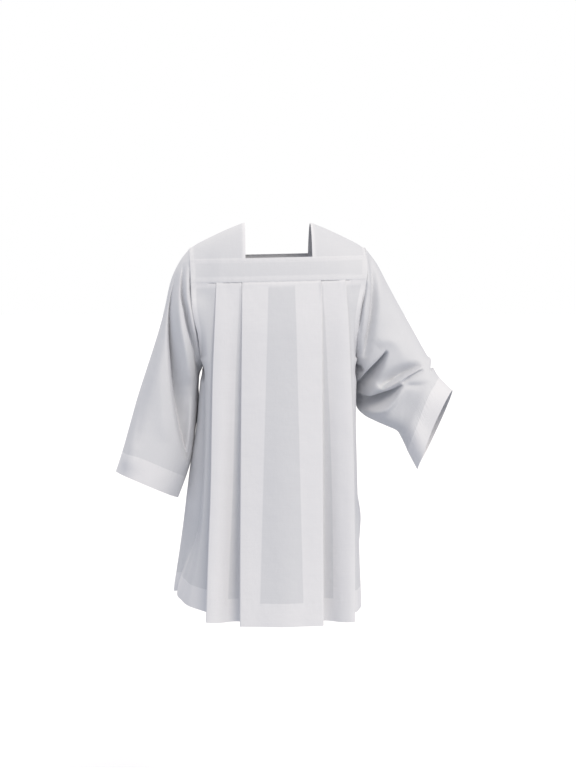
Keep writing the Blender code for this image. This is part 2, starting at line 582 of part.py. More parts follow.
def cloth_piece(name, rows, closed, facing, hem):
    """A wall of cloth on the sheet through the rows of points, doubled inwards over a hem at its foot."""
    points = np.array(rows, float)
    normals = cloth_normals(points, closed, facing)
    inwards = np.full((len(rows), 1, 1), CLOTH / 2)
    if hem:
        inwards[-2:] += CLOTH
    outer = points + normals * CLOTH / 2
    inner = points - normals * inwards
    height, width = points.shape[:2]
    vertices = np.concatenate((outer.reshape(-1, 3), inner.reshape(-1, 3)))

    def at(layer, i, k):
        return layer * height * width + i * width + k % width

    faces = []
    for i in range(height - 1):
        for k in range(width if closed else width - 1):
            corners = [(i, k), (i, k + 1), (i + 1, k + 1), (i + 1, k)]
            if closed and (k < width // 2) == (facing > 0):  # the triangles' long sides follow a sleeve's folds
                corners = corners[1:] + corners[:1]
            a, b, c, d = (at(0, *corner) for corner in corners)
            faces += [(a, b, c), (a, c, d)]
            a, b, c, d = (at(1, *corner) for corner in corners)
            faces += [(a, c, b), (a, d, c)]
    for i, turn in ((0, 1), (height - 1, -1)):
        for k in range(width if closed else width - 1):
            a, b, c, d = at(0, i, k + 1), at(0, i, k), at(1, i, k), at(1, i, k + 1)
            faces += [(a, b, c), (a, c, d)] if turn > 0 else [(a, c, b), (a, d, c)]
    for k, turn in () if closed else ((0, 1), (width - 1, -1)):
        for i in range(height - 1):
            a, b, c, d = at(0, i, k), at(0, i + 1, k), at(1, i + 1, k), at(1, i, k)
            faces += [(a, b, c), (a, c, d)] if turn > 0 else [(a, c, b), (a, d, c)]
    if facing < 0:
        faces = [face[::-1] for face in faces]

    data = bpy.data.meshes.new(name)
    data.from_pydata([tuple(v) for v in vertices], [], faces)
    data.update()
    data.shade_smooth()
    data.materials.append(cloth_material(name + "_cloth"))
    piece = bpy.data.objects.new(name, data)
    bpy.context.scene.collection.objects.link(piece)
    return piece


def build():
    for old in list(bpy.data.objects):
        bpy.data.objects.remove(old)
    front, back = panel_rows(-1), panel_rows(1)
    front_band, back_band = band_rows(-1), band_rows(1)
    straps = {side: strap_rows(side) for side in (-1, 1)}
    cloth_piece("front_panel", front, closed=False, facing=-1, hem=True)
    cloth_piece("back_panel", back, closed=False, facing=1, hem=True)
    cloth_piece("front_yoke", front_band, closed=False, facing=-1, hem=False)
    cloth_piece("back_yoke", back_band, closed=False, facing=1, hem=False)
    cloth_piece("right_shoulder", straps[-1], closed=False, facing=-1, hem=False)
    cloth_piece("left_shoulder", straps[1], closed=False, facing=1, hem=False)

    for name, side, sections, folds, shares, finest in (
        ("right_sleeve", -1, RIGHT_SLEEVE, RIGHT_SLEEVE_FOLDS, RIGHT_SLEEVE_ROWS, 2),
        ("left_sleeve", 1, LEFT_SLEEVE, LEFT_SLEEVE_FOLDS, LEFT_SLEEVE_ROWS, 3),
    ):
        line = armhole_line(side, front, back, front_band, back_band, straps[side])
        parts = [finest if 50 < angle_round(point) < 178 else 1 for point in line]
        rows = sleeve_rows(sections, folds, side, split_line(line, parts), shares)
        cloth_piece(name, rows, closed=True, facing=side, hem=True)


if __name__ == "__main__":
    build()
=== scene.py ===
"""A white surplice as worn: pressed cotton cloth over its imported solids, its sewing, and a plain studio.

The cloth pieces repeat the solids' own lines at a finer pitch and add the creases, the turned edges and the
topstitching. Metres, +Z up, front towards -Y, the wearer's left towards +X.
"""

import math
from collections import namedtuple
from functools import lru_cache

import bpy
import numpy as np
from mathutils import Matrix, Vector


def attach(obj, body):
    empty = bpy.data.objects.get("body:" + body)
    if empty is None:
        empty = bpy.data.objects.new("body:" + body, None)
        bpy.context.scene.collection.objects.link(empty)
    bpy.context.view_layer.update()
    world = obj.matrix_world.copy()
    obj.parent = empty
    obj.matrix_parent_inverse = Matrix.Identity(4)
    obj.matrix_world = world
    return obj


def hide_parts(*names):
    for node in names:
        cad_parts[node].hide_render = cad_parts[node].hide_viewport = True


bl_info = {
    "name": "Surplice",
    "version": (1, 0, 0),
    "blender": (4, 5, 0),
    "location": "3D View > Sidebar > Surplice",
    "description": "Makes the cloth, the sewing and the studio of a pleated surplice",
    "category": "Object",
}

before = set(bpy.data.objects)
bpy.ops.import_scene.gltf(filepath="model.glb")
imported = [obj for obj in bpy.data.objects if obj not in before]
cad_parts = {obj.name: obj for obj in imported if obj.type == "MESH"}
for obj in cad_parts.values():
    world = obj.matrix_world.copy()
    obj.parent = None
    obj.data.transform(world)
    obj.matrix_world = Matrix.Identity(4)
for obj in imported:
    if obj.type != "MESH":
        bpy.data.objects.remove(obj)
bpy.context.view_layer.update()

# ---------------------------------------------------------------- the garment's own sizes
# the faces and the wearer's sides are the signs that distances outwards take along Y and X
FRONT, BACK = -1, 1
RIGHT, LEFT = -1, 1

LAYER_PITCH = 0.0016  # between the layers of a pressed pleat
SHOULDER_Y = 0.003
YOKE_SEAM_Z = -0.119
YOKE_TILT = 0.022  # rise of the yoke seams towards the raised arm, per metre of width
FRONT_BAND_TOP_Z = -0.071
BACK_BAND_TOP_Z = -0.064
NECK_HALF_WIDTH = 0.0680

FRONT_HEM_Z = -0.811
BACK_HEM_Z = -0.800
HEM_Z = {FRONT: FRONT_HEM_Z, BACK: BACK_HEM_Z}
SIDE_HEM_Z = {RIGHT: -0.768, LEFT: -0.786}
HEM_RISE_STARTS_Z = -0.45
HEM_RISE_POWER = 3.2
HEM_DEPTH = 0.046
PLATEAU_PAST_FOLD = 0.003
FOLD_RADIUS_AT_HEM = 0.0028

ARMHOLE_MID_Z = -0.176
ARMHOLE_HALF_HEIGHT = 0.124
ARMHOLE_HALF_DEPTH = 0.095
ARMHOLE_FOOT_Z = ARMHOLE_MID_Z - ARMHOLE_HALF_HEIGHT
VENT_TOP_Z = -0.276
VENT_FOOT_Z = -0.322
VENT_BOW = 0.005

# sewing: how far the cloth laps at the seams and how far its allowances reach
LAP_UNDER = 0.009  # a panel's top goes this far up behind the yoke
LAP_SHARES = (1.0, 0.66, 0.33, 0.08)
LAP_SINK = 0.0011  # it goes back by this much within LAP_STEP
LAP_STEP = 0.0008
LAP_LEAN = 0.48  # and leans back by this share of its rise
SEAM_SEAT = 0.0011  # the panel's outermost layer lies this far under the yoke's outer face
SEAM_BLEND = 0.06
YOKE_PROUD = 0.0007  # the band's turned edges stand this far above the panels
YOKE_ROLL = (-0.0012, 0.0016)  # and reach that height between these distances from the edge
YOKE_SHOWS_THROUGH = 0.5  # how plainly the yoke's turned allowances are seen through it
PANEL_ALLOWANCE = 0.0125
ARMHOLE_ALLOWANCE = 0.0105
BAND_TURN_MORE = 0.0005  # the yoke's bands are turned in this much deeper along their long edges
NECK_TURN = 0.0065
ARMHOLE_END_PAST = 0.002  # the armhole's allowance runs this far past its end
FLUSH_PAST = 0.01  # the yoke seam's change of depth between pleats and armhole reaches this far past both
ALLOWANCE_EDGE = 0.001  # the cloth's shade changes over this much each side of an allowance's edge
HEM_EDGE = 0.0012  # the turned cloth of a hem stands out within this
ARMHOLE_FOOT_TURNS = (147.0, 181.0, 3.0)  # degrees from an armhole's top along its foot, and their step
JOIN_AT_FOOT = 0.0005  # on the line round an armhole, points this near to the next part's are left out
JOIN_AT_BAND = 0.001
SLEEVE_TUCK = 0.0030  # the sleeve's edge goes this far in behind the body's edge
SLEEVE_SINK = 0.0010
THREAD_SEAT = 0.2  # a thread's middle lies this share of its thickness above the cloth

# beside the stitches the cloth rolls up a little and gathers, out to these distances from them
SEAM_PUCKER = 0.00016
TOPSTITCH_REACH = 0.011
HEM_REACH = 0.010
YOKE_REACH = 0.012
ARMHOLE_REACH = 0.014
ROLL_HEIGHT = 0.00045
ROLL_PLACE = 0.0040
ROLL_WIDTH = 0.0030
GATHER_LENGTHS = (0.0021, 0.0110, 0.0037)  # per radian of the gathers, their drift and a weaker second wave
YOKE_GATHERS_FROM = 0.4  # the gathers at the yoke and at the armholes start this far on in the same pattern
ARMHOLE_GATHERS_FROM = 0.3

# ---------------------------------------------------------------- tables of the form
Shoulder = namedtuple("Shoulder", "x ridge_z")
SHOULDER_LINE = [
    Shoulder(0.000, 0.004),
    Shoulder(0.069, 0.000),
    Shoulder(0.090, -0.007),
    Shoulder(0.118, -0.019),
    Shoulder(0.147, -0.033),
    Shoulder(0.165, -0.042),
    Shoulder(0.180, -0.052),
]

ArmholeEdge = namedtuple("ArmholeEdge", "z right_x left_x")
ARMHOLE_EDGE = [
    ArmholeEdge(-0.310, 0.1560, 0.1600),
    ArmholeEdge(-0.285, 0.1588, 0.1597),
    ArmholeEdge(-0.252, 0.1622, 0.1605),
    ArmholeEdge(-0.225, 0.1655, 0.1618),
    ArmholeEdge(-0.199, 0.1715, 0.1640),
    ArmholeEdge(-0.167, 0.1765, 0.1690),
    ArmholeEdge(-0.135, 0.1785, 0.1765),
    ArmholeEdge(-0.097, 0.1795, 0.1815),
    ArmholeEdge(-0.050, 0.1830, 0.1840),
]

# depths are measured outwards, to the front or to the back; inner and outer are the pleats' visible edges
Level = namedtuple("Level", "z centre_depth edge_depth inner_right inner_left outer_right outer_left")
FRONT_LEVELS = [
    Level(-0.830, 0.1810, 0.1610, 0.0795, 0.0835, 0.1485, 0.1483),
    Level(-0.676, 0.1630, 0.1450, 0.0790, 0.0840, 0.1435, 0.1494),
    Level(-0.544, 0.1520, 0.1350, 0.0780, 0.0840, 0.1385, 0.1490),
    Level(-0.414, 0.1425, 0.1265, 0.0770, 0.0840, 0.1360, 0.1465),
    Level(-0.311, 0.1340, 0.1185, 0.0760, 0.0840, 0.1340, 0.1430),
    Level(-0.209, 0.1235, 0.1105, 0.0750, 0.0840, 0.1300, 0.1390),
    Level(-0.119, 0.1050, 0.0950, 0.0740, 0.0830, 0.1260, 0.1335),
]
BACK_LEVELS = [
    Level(-0.830, 0.1520, 0.1340, 0.0830, 0.0840, 0.1500, 0.1480),
    Level(-0.676, 0.1410, 0.1240, 0.0810, 0.0830, 0.1460, 0.1480),
    Level(-0.544, 0.1300, 0.1130, 0.0790, 0.0830, 0.1420, 0.1460),
    Level(-0.414, 0.1220, 0.1060, 0.0775, 0.0825, 0.1380, 0.1430),
    Level(-0.311, 0.1240, 0.1090, 0.0770, 0.0830, 0.1350, 0.1390),
    Level(-0.209, 0.1210, 0.1070, 0.0770, 0.0830, 0.1310, 0.1370),
    Level(-0.119, 0.1000, 0.0920, 0.0755, 0.0815, 0.1275, 0.1335),
]

LEVELS = {FRONT: FRONT_LEVELS, BACK: BACK_LEVELS}

# how far a pleat's hidden folds lie back from its edge, and how far in they are from the layer before
Pleats = namedtuple("Pleats", "inner_depth inner_in outer_depth outer_in side_in")
PRESSED = Pleats(0.0520, LAYER_PITCH, 0.0470, LAYER_PITCH, 2 * LAYER_PITCH)
FRONT_OPENED = Pleats(0.0370, 0.0320, 0.0400, 0.0200, 0.0390)
BACK_OPENED = Pleats(0.0370, 0.0240, 0.0400, 0.0170, 0.0300)
OPENED = {FRONT: FRONT_OPENED, BACK: BACK_OPENED}
OPENING_POWER = 1.1

Side = namedtuple("Side", "z seam_x seam_front tucked outline_x outline_back")
RIGHT_SIDE = [
    Side(-0.830, 0.2140, 0.030, 0.00, 0.2180, 0.000),
    Side(-0.765, 0.2110, 0.032, 0.00, 0.2170, 0.000),
    Side(-0.715, 0.1960, 0.042, 0.15, 0.2110, 0.000),
    Side(-0.675, 0.1810, 0.054, 0.40, 0.2045, 0.005),
    Side(-0.620, 0.1640, 0.066, 0.65, 0.1960, 0.010),
    Side(-0.555, 0.1570, 0.070, 0.80, 0.1870, 0.018),
    Side(-0.480, 0.1520, 0.070, 0.90, 0.1775, 0.022),
    Side(-0.417, 0.1495, 0.066, 1.00, 0.1682, 0.018),
    Side(-0.350, 0.1490, 0.063, 1.00, 0.1625, 0.012),
    Side(-0.310, 0.1500, 0.060, 1.00, 0.1575, 0.004),
]
LEFT_SIDE = [
    Side(-0.830, 0.1670, 0.040, 0.00, 0.1700, 0.000),
    Side(-0.785, 0.1660, 0.040, 0.00, 0.1710, 0.000),
    Side(-0.760, 0.1650, 0.042, 0.10, 0.1720, 0.000),
    Side(-0.697, 0.1610, 0.046, 0.30, 0.1680, 0.000),
    Side(-0.648, 0.1590, 0.050, 0.50, 0.1710, 0.000),
    Side(-0.612, 0.1570, 0.052, 0.60, 0.1720, 0.000),
    Side(-0.557, 0.1550, 0.052, 0.60, 0.1640, 0.005),
    Side(-0.473, 0.1530, 0.050, 0.60, 0.1590, 0.012),
    Side(-0.412, 0.1520, 0.048, 0.60, 0.1585, 0.018),
    Side(-0.350, 0.1540, 0.044, 0.60, 0.1600, 0.018),
    Side(-0.310, 0.1560, 0.040, 0.60, 0.1605, 0.005),
]
SIDES = {RIGHT: RIGHT_SIDE, LEFT: LEFT_SIDE}
SEAM_GAPS = (0.0001, 0.0006)  # half the gap between front and back at a side seam, open and tucked

# the ways in which a panel's cloth runs into its side edge, outwards and in depth: at the yoke, at the foot
# of the armhole, and in the valley of a side seam in front and behind
WAY_AT_YOKE = (1.0, -0.30)
WAY_AT_FOOT = (0.10, -1.0)
WAY_IN_VALLEY = {FRONT: (-0.35, -1.0), BACK: (-1.0, -0.45)}
WAY_TURNS_Z = (-0.16, -0.31)
SPAN_RATE = 1.5  # how fast a curve leaves and arrives in its ways, as a share of its reach in each of them
SPAN_LEAST = 0.25  # which counts as at least this share of its length

FLAT_FROM_X = 0.150  # beside the pleats a panel lies flat under the yoke from here outwards
FREE_FROM_YOKE_Z = -0.175  # and hangs free of it from here down
LEVEL_FROM_Z = -0.26  # from here down the rows don't follow the yoke's tilt

# below the arm a sleeve's front hangs flatter than an ellipse, by this power, which grows between two places
HANGS_FLAT = 0.6
HANGS_FLAT_PLACES = (1.5, 4.5)
ARMHOLE_FADES = 1.5  # the sleeve leaves the armhole's own shape over this many sections
CREASES_FULL_ALONG = 0.12  # the creases are full from this part of a section on
CREASES_FULL_ROUND = 0.20  # and from this sine of the angle from the sleeve's top or under side
TROUGH_ROOM = {FRONT: 0.75, BACK: 0.22}  # the share of a sleeve's depth that a trough may take

Section = namedtuple("Section", "top_x top_z under_x under_z mid_y half_depth front_shift front_lift")
RIGHT_SLEEVE = [
    Section(-0.1840, -0.0525, -0.1580, -0.3010, 0.002, 0.0950, 0.000, 0.000),
    Section(-0.2020, -0.0770, -0.1635, -0.3150, 0.001, 0.0960, 0.000, 0.000),
    Section(-0.2210, -0.1180, -0.1650, -0.3330, -0.003, 0.0930, 0.002, 0.000),
    Section(-0.2350, -0.1800, -0.1665, -0.3570, -0.008, 0.0890, 0.004, 0.000),
    Section(-0.2490, -0.2320, -0.1690, -0.3880, -0.013, 0.0870, 0.006, 0.002),
    Section(-0.2680, -0.2920, -0.1725, -0.4210, -0.018, 0.0870, 0.008, 0.004),
    Section(-0.2880, -0.3550, -0.1765, -0.4560, -0.022, 0.0880, 0.010, 0.008),
    Section(-0.3050, -0.4170, -0.1830, -0.4920, -0.026, 0.0900, 0.012, 0.012),
    Section(-0.3190, -0.4680, -0.1955, -0.5300, -0.030, 0.0920, 0.013, 0.016),
    Section(-0.3340, -0.5140, -0.2110, -0.5690, -0.033, 0.0940, 0.014, 0.019),
]
LEFT_SLEEVE = [
    Section(0.1845, -0.0525, 0.1615, -0.3010, 0.002, 0.0950, 0.000, 0.000),
    Section(0.2060, -0.0820, 0.1645, -0.3380, 0.001, 0.0950, 0.000, 0.000),
    Section(0.2280, -0.1240, 0.1655, -0.3800, -0.004, 0.0900, 0.000, 0.000),
    Section(0.2520, -0.1690, 0.1800, -0.3990, -0.012, 0.0850, -0.002, 0.000),
    Section(0.2770, -0.2140, 0.2010, -0.4090, -0.022, 0.0820, -0.005, 0.000),
    Section(0.2990, -0.2550, 0.2250, -0.4180, -0.034, 0.0800, -0.007, 0.000),
    Section(0.3160, -0.2870, 0.2450, -0.4260, -0.050, 0.0780, -0.009, 0.000),
    Section(0.3260, -0.3110, 0.2550, -0.4420, -0.070, 0.0750, -0.012, 0.000),
    Section(0.3410, -0.3290, 0.2670, -0.4690, -0.090, 0.0710, -0.015, 0.000),
    Section(0.3520, -0.3410, 0.2820, -0.4970, -0.110, 0.0670, -0.018, 0.000),
]

# a fold on a hidden side of a sleeve is a ridge, or with a negative height a valley, along a bent path. A
# stop of the path is a place counted in sections and an angle round the sleeve: 0 top, 90 front, 180 under
# side. Its half width grows from one end to the other, lean widens it on one side, and it is highest at peak,
# a share of its length.
Fold = namedtuple("Fold", "width_from width_to lean height peak crisp stops")
RIGHT_SLEEVE_FOLDS = [
    Fold(0.012, 0.016, -0.25, -0.014, 0.5, 1.6, [(1.5, 330), (2.6, 300), (3.6, 268), (5.2, 224), (7.0, 196)]),
    Fold(0.010, 0.014, -0.20, -0.009, 0.5, 1.6, [(0.9, 318), (1.8, 268), (2.4, 240), (3.4, 216)]),
    Fold(0.018, 0.024, 0.0, 0.004, 0.5, 2.0, [(3.4, 318), (5.4, 286), (7.8, 262)]),
    Fold(0.014, 0.016, 0.0, 0.010, 0.5, 2.0, [(1.6, 208), (3.6, 205), (6.4, 205)]),
]
LEFT_SLEEVE_FOLDS = [
    Fold(0.018, 0.026, 0.25, -0.015, 0.6, 1.8, [(4.9, 300), (4.2, 276), (3.6, 256), (1.4, 206)]),
    Fold(0.018, 0.024, 0.25, -0.011, 0.55, 1.8, [(6.4, 302), (5.6, 272), (4.9, 246), (3.0, 200)]),
    Fold(0.016, 0.020, 0.0, 0.005, 0.5, 2.0, [(3.4, 318), (3.8, 292), (3.2, 262)]),
    Fold(0.006, 0.006, 0.0, -0.009, 0.5, 2.0, [(6.25, -50), (6.2, 0), (6.3, 40)]),
    Fold(0.007, 0.007, 0.0, 0.004, 0.5, 2.0, [(5.8, -50), (5.85, 0), (5.9, 34)]),
]
SLEEVES = {RIGHT: (RIGHT_SLEEVE, RIGHT_SLEEVE_FOLDS), LEFT: (LEFT_SLEEVE, LEFT_SLEEVE_FOLDS)}

# a crease on one face of a sleeve. A bend of its path is x, z, how far the cloth stands out there (in a
# trough it lies back) and the half widths on its two sides, left and right as one looks at the front and it
# runs down. The cloth leans across and up by shares of how far it stands out. A crease with a high crispness
# has a flat floor and steep sides, and one with a low crispness a pointed floor and long sides.
Crease = namedtuple("Crease", "crispness lean_x lean_z bends")
RIGHT_SLEEVE_CREASES = [
    # the main valley from the shoulder to the cuff
    Crease(1.25, 0.12, 0.0, [
        (-0.210, -0.095, 0.000, 0.004, 0.008), (-0.212, -0.117, -0.010, 0.004, 0.008),
        (-0.216, -0.139, -0.019, 0.004, 0.007), (-0.219, -0.160, -0.025, 0.004, 0.007),
        (-0.221, -0.185, -0.029, 0.004, 0.007), (-0.221, -0.213, -0.033, 0.004, 0.007),
        (-0.220, -0.241, -0.037, 0.004, 0.008), (-0.218, -0.265, -0.042, 0.004, 0.010),
        (-0.216, -0.290, -0.047, 0.004, 0.013), (-0.214, -0.315, -0.053, 0.004, 0.017),
        (-0.211, -0.340, -0.058, 0.004, 0.022), (-0.208, -0.365, -0.062, 0.004, 0.024),
        (-0.204, -0.391, -0.060, 0.004, 0.022), (-0.200, -0.416, -0.054, 0.004, 0.018),
        (-0.195, -0.442, -0.042, 0.004, 0.014), (-0.190, -0.466, -0.026, 0.004, 0.010),
        (-0.186, -0.489, -0.009, 0.004, 0.007), (-0.185, -0.505, 0.000, 0.004, 0.006),
    ]),
    # a narrow crease beside it
    Crease(2.0, 0.15, 0.0, [
        (-0.194, -0.082, 0.000, 0.003, 0.004), (-0.195, -0.104, -0.010, 0.003, 0.004),
        (-0.196, -0.129, -0.015, 0.003, 0.004), (-0.195, -0.154, -0.018, 0.003, 0.004),
        (-0.190, -0.178, -0.020, 0.003, 0.005), (-0.185, -0.206, -0.022, 0.003, 0.005),
        (-0.178, -0.235, -0.022, 0.003, 0.006), (-0.172, -0.260, -0.020, 0.003, 0.006),
        (-0.169, -0.283, -0.016, 0.003, 0.006), (-0.165, -0.312, -0.009, 0.003, 0.005),
        (-0.165, -0.324, 0.000, 0.003, 0.005),
    ]),
    # a crease beside the armhole seam
    Crease(2.0, 0.0, 0.0, [
        (-0.180, -0.082, 0.000, 0.003, 0.003), (-0.179, -0.107, -0.008, 0.003, 0.003),
        (-0.178, -0.135, -0.012, 0.003, 0.003), (-0.175, -0.166, -0.013, 0.003, 0.003),
        (-0.170, -0.197, -0.013, 0.003, 0.003), (-0.166, -0.226, -0.011, 0.003, 0.003),
        (-0.162, -0.255, -0.007, 0.003, 0.003), (-0.160, -0.278, 0.000, 0.003, 0.003),
    ]),
    # the strip between the two creases
    Crease(1.7, 0.0, 0.0, [
        (-0.188, -0.086, 0.000, 0.006, 0.006), (-0.188, -0.116, 0.004, 0.006, 0.006),
        (-0.185, -0.147, 0.005, 0.006, 0.006), (-0.180, -0.181, 0.005, 0.006, 0.006),
        (-0.173, -0.216, 0.004, 0.006, 0.006), (-0.168, -0.241, 0.000, 0.006, 0.006),
    ]),
    # the lobe between the valley and the crease
    Crease(1.7, 0.0, 0.0, [
        (-0.207, -0.129, 0.000, 0.007, 0.007), (-0.204, -0.166, 0.005, 0.007, 0.007),
        (-0.199, -0.203, 0.007, 0.008, 0.008), (-0.192, -0.240, 0.009, 0.009, 0.009),
        (-0.185, -0.275, 0.009, 0.009, 0.009), (-0.179, -0.308, 0.008, 0.009, 0.009),
        (-0.173, -0.335, 0.004, 0.009, 0.009), (-0.170, -0.352, 0.000, 0.009, 0.009),
    ]),
    # the outer side, which hangs flat and full
    Crease(2.0, 0.0, 0.0, [
        (-0.232, -0.165, 0.000, 0.018, 0.018), (-0.243, -0.209, 0.008, 0.022, 0.024),
        (-0.260, -0.266, 0.015, 0.026, 0.028), (-0.278, -0.321, 0.019, 0.028, 0.030),
        (-0.295, -0.378, 0.020, 0.028, 0.030), (-0.304, -0.429, 0.020, 0.028, 0.030),
        (-0.312, -0.471, 0.018, 0.026, 0.028),
    ]),
    # a broad shallow trough on the outer side
    Crease(1.7, 0.0, 0.0, [
        (-0.251, -0.238, 0.000, 0.010, 0.010), (-0.261, -0.287, -0.004, 0.012, 0.012),
        (-0.272, -0.336, -0.006, 0.013, 0.013), (-0.282, -0.385, -0.006, 0.013, 0.013),
        (-0.289, -0.427, -0.005, 0.013, 0.013), (-0.294, -0.455, 0.000, 0.013, 0.013),
    ]),
    # the soft swell beside the main valley
    Crease(1.7, 0.0, 0.0, [
        (-0.241, -0.236, 0.000, 0.014, 0.014), (-0.239, -0.278, 0.003, 0.016, 0.014),
        (-0.241, -0.321, 0.004, 0.018, 0.015), (-0.239, -0.365, 0.004, 0.018, 0.015),
        (-0.236, -0.408, 0.004, 0.018, 0.015), (-0.232, -0.446, 0.000, 0.018, 0.015),
    ]),
    # the inner edge, which stands forward beside the valley
    Crease(2.0, 0.0, 0.0, [
        (-0.174, -0.330, 0.000, 0.007, 0.007), (-0.176, -0.370, 0.008, 0.007, 0.007),
        (-0.179, -0.410, 0.012, 0.007, 0.007), (-0.184, -0.450, 0.011, 0.007, 0.007),
        (-0.190, -0.485, 0.006, 0.007, 0.007), (-0.196, -0.510, 0.000, 0.007, 0.007),
    ]),
]
LEFT_SLEEVE_CREASES = [
    # a long valley from the shoulder to the elbow
    Crease(1.8, 0.1, 0.0, [
        (0.188, -0.062, 0.000, 0.005, 0.008), (0.191, -0.085, -0.010, 0.005, 0.008),
        (0.194, -0.111, -0.019, 0.005, 0.009), (0.194, -0.140, -0.025, 0.005, 0.009),
        (0.192, -0.172, -0.027, 0.005, 0.010), (0.187, -0.206, -0.025, 0.005, 0.009),
        (0.181, -0.236, -0.019, 0.005, 0.009), (0.177, -0.262, -0.009, 0.005, 0.008),
        (0.175, -0.279, 0.000, 0.005, 0.008),
    ]),
    # the strip that stands up beside the armhole
    Crease(1.7, 0.0, 0.0, [
        (0.181, -0.073, 0.000, 0.007, 0.007), (0.182, -0.108, 0.003, 0.007, 0.007),
        (0.180, -0.143, 0.005, 0.007, 0.007), (0.174, -0.180, 0.006, 0.007, 0.007),
        (0.169, -0.218, 0.006, 0.008, 0.008), (0.165, -0.248, 0.005, 0.009, 0.009),
        (0.164, -0.266, 0.000, 0.009, 0.009),
    ]),
    # a narrow crease beside the armhole seam
    Crease(2.0, 0.0, 0.0, [
        (0.177, -0.123, 0.000, 0.003, 0.003), (0.173, -0.140, -0.010, 0.003, 0.004),
        (0.169, -0.160, -0.015, 0.004, 0.004), (0.165, -0.181, -0.014, 0.004, 0.004),
        (0.163, -0.201, -0.009, 0.003, 0.004), (0.161, -0.225, 0.000, 0.003, 0.004),
    ]),
    # the deep pocket over the bent elbow
    Crease(2.8, 0.16, -0.12, [
        (0.221, -0.261, 0.000, 0.003, 0.003), (0.216, -0.272, -0.026, 0.004, 0.004),
        (0.208, -0.286, -0.046, 0.006, 0.006), (0.199, -0.300, -0.060, 0.008, 0.008),
        (0.190, -0.315, -0.068, 0.010, 0.009), (0.181, -0.329, -0.068, 0.010, 0.009),
        (0.172, -0.345, -0.062, 0.011, 0.010), (0.166, -0.361, -0.052, 0.012, 0.012),
    ]),
    # the hollow beside the body below the pocket
    Crease(2.0, 0.0, 0.0, [
        (0.165, -0.322, 0.000, 0.008, 0.008), (0.166, -0.344, -0.026, 0.009, 0.011),
        (0.166, -0.361, -0.038, 0.009, 0.012), (0.167, -0.375, -0.032, 0.009, 0.012),
        (0.171, -0.391, 0.000, 0.009, 0.012),
    ]),
    # a small pocket beside the body
    Crease(2.8, 0.0, -0.2, [
        (0.176, -0.302, 0.000, 0.003, 0.003), (0.172, -0.302, -0.020, 0.005, 0.005),
        (0.167, -0.301, -0.036, 0.007, 0.007), (0.162, -0.301, -0.044, 0.008, 0.009),
    ]),
    # a soft trough above the crest
    Crease(1.7, -0.1, 0.25, [
        (0.295, -0.289, 0.000, 0.005, 0.005), (0.280, -0.291, -0.011, 0.006, 0.007),
        (0.265, -0.295, -0.020, 0.008, 0.008), (0.250, -0.301, -0.025, 0.010, 0.008),
        (0.234, -0.311, -0.024, 0.010, 0.008), (0.220, -0.321, -0.018, 0.009, 0.007),
        (0.210, -0.330, -0.009, 0.008, 0.006), (0.204, -0.335, 0.000, 0.008, 0.006),
    ]),
    # the crest that runs to the elbow
    Crease(1.7, 0.0, 0.0, [
        (0.198, -0.331, 0.000, 0.005, 0.006), (0.202, -0.340, 0.004, 0.005, 0.006),
        (0.215, -0.338, 0.007, 0.005, 0.007), (0.231, -0.328, 0.009, 0.006, 0.007),
        (0.250, -0.316, 0.009, 0.006, 0.007), (0.269, -0.306, 0.009, 0.006, 0.007),
        (0.287, -0.297, 0.006, 0.005, 0.006), (0.298, -0.293, 0.000, 0.005, 0.006),
    ]),
    # a narrow trough below the crest
    Crease(2.0, 0.0, -0.2, [
        (0.247, -0.327, 0.000, 0.003, 0.003), (0.258, -0.319, -0.009, 0.004, 0.004),
        (0.271, -0.311, -0.011, 0.004, 0.004), (0.285, -0.304, -0.009, 0.004, 0.004),
        (0.296, -0.300, 0.000, 0.004, 0.004),
    ]),
    # the lower pocket beside the bent elbow
    Crease(2.8, 0.06, -0.16, [
        (0.251, -0.329, 0.000, 0.002, 0.002), (0.241, -0.337, -0.024, 0.003, 0.005),
        (0.230, -0.346, -0.042, 0.005, 0.008), (0.217, -0.354, -0.054, 0.007, 0.010),
        (0.205, -0.361, -0.060, 0.008, 0.011), (0.192, -0.366, -0.062, 0.008, 0.012),
        (0.179, -0.370, -0.060, 0.009, 0.012), (0.167, -0.375, -0.054, 0.009, 0.012),
    ]),
    # the soft ridge under the lower pocket
    Crease(1.8, 0.0, 0.0, [
        (0.256, -0.332, 0.000, 0.005, 0.005), (0.244, -0.348, 0.008, 0.006, 0.006),
        (0.230, -0.367, 0.013, 0.007, 0.007), (0.215, -0.381, 0.014, 0.008, 0.008),
        (0.195, -0.389, 0.012, 0.008, 0.008), (0.175, -0.388, 0.000, 0.008, 0.008),
    ]),
    # a shallow trough across the forearm
    Crease(1.8, 0.0, -0.2, [
        (0.256, -0.331, 0.000, 0.005, 0.005), (0.269, -0.332, -0.007, 0.005, 0.006),
        (0.286, -0.332, -0.009, 0.005, 0.008), (0.306, -0.328, -0.006, 0.006, 0.008),
        (0.325, -0.325, 0.000, 0.006, 0.008),
    ]),
    # a soft ridge under the upper arm
    Crease(1.7, 0.0, 0.0, [
        (0.200, -0.252, 0.000, 0.012, 0.014), (0.210, -0.242, 0.004, 0.012, 0.014),
        (0.225, -0.240, 0.005, 0.012, 0.015), (0.240, -0.247, 0.005, 0.014, 0.015),
        (0.251, -0.265, 0.003, 0.015, 0.015), (0.256, -0.279, 0.000, 0.015, 0.015),
    ]),
    # the hanging side of the forearm, which swells forward
    Crease(2.0, 0.0, 0.0, [
        (0.174, -0.394, 0.000, 0.018, 0.018), (0.196, -0.397, 0.010, 0.022, 0.022),
        (0.223, -0.405, 0.018, 0.026, 0.026), (0.247, -0.412, 0.025, 0.030, 0.030),
        (0.261, -0.427, 0.029, 0.032, 0.032), (0.268, -0.449, 0.030, 0.032, 0.032),
        (0.274, -0.471, 0.028, 0.030, 0.030), (0.275, -0.489, 0.024, 0.028, 0.028),
    ]),
]
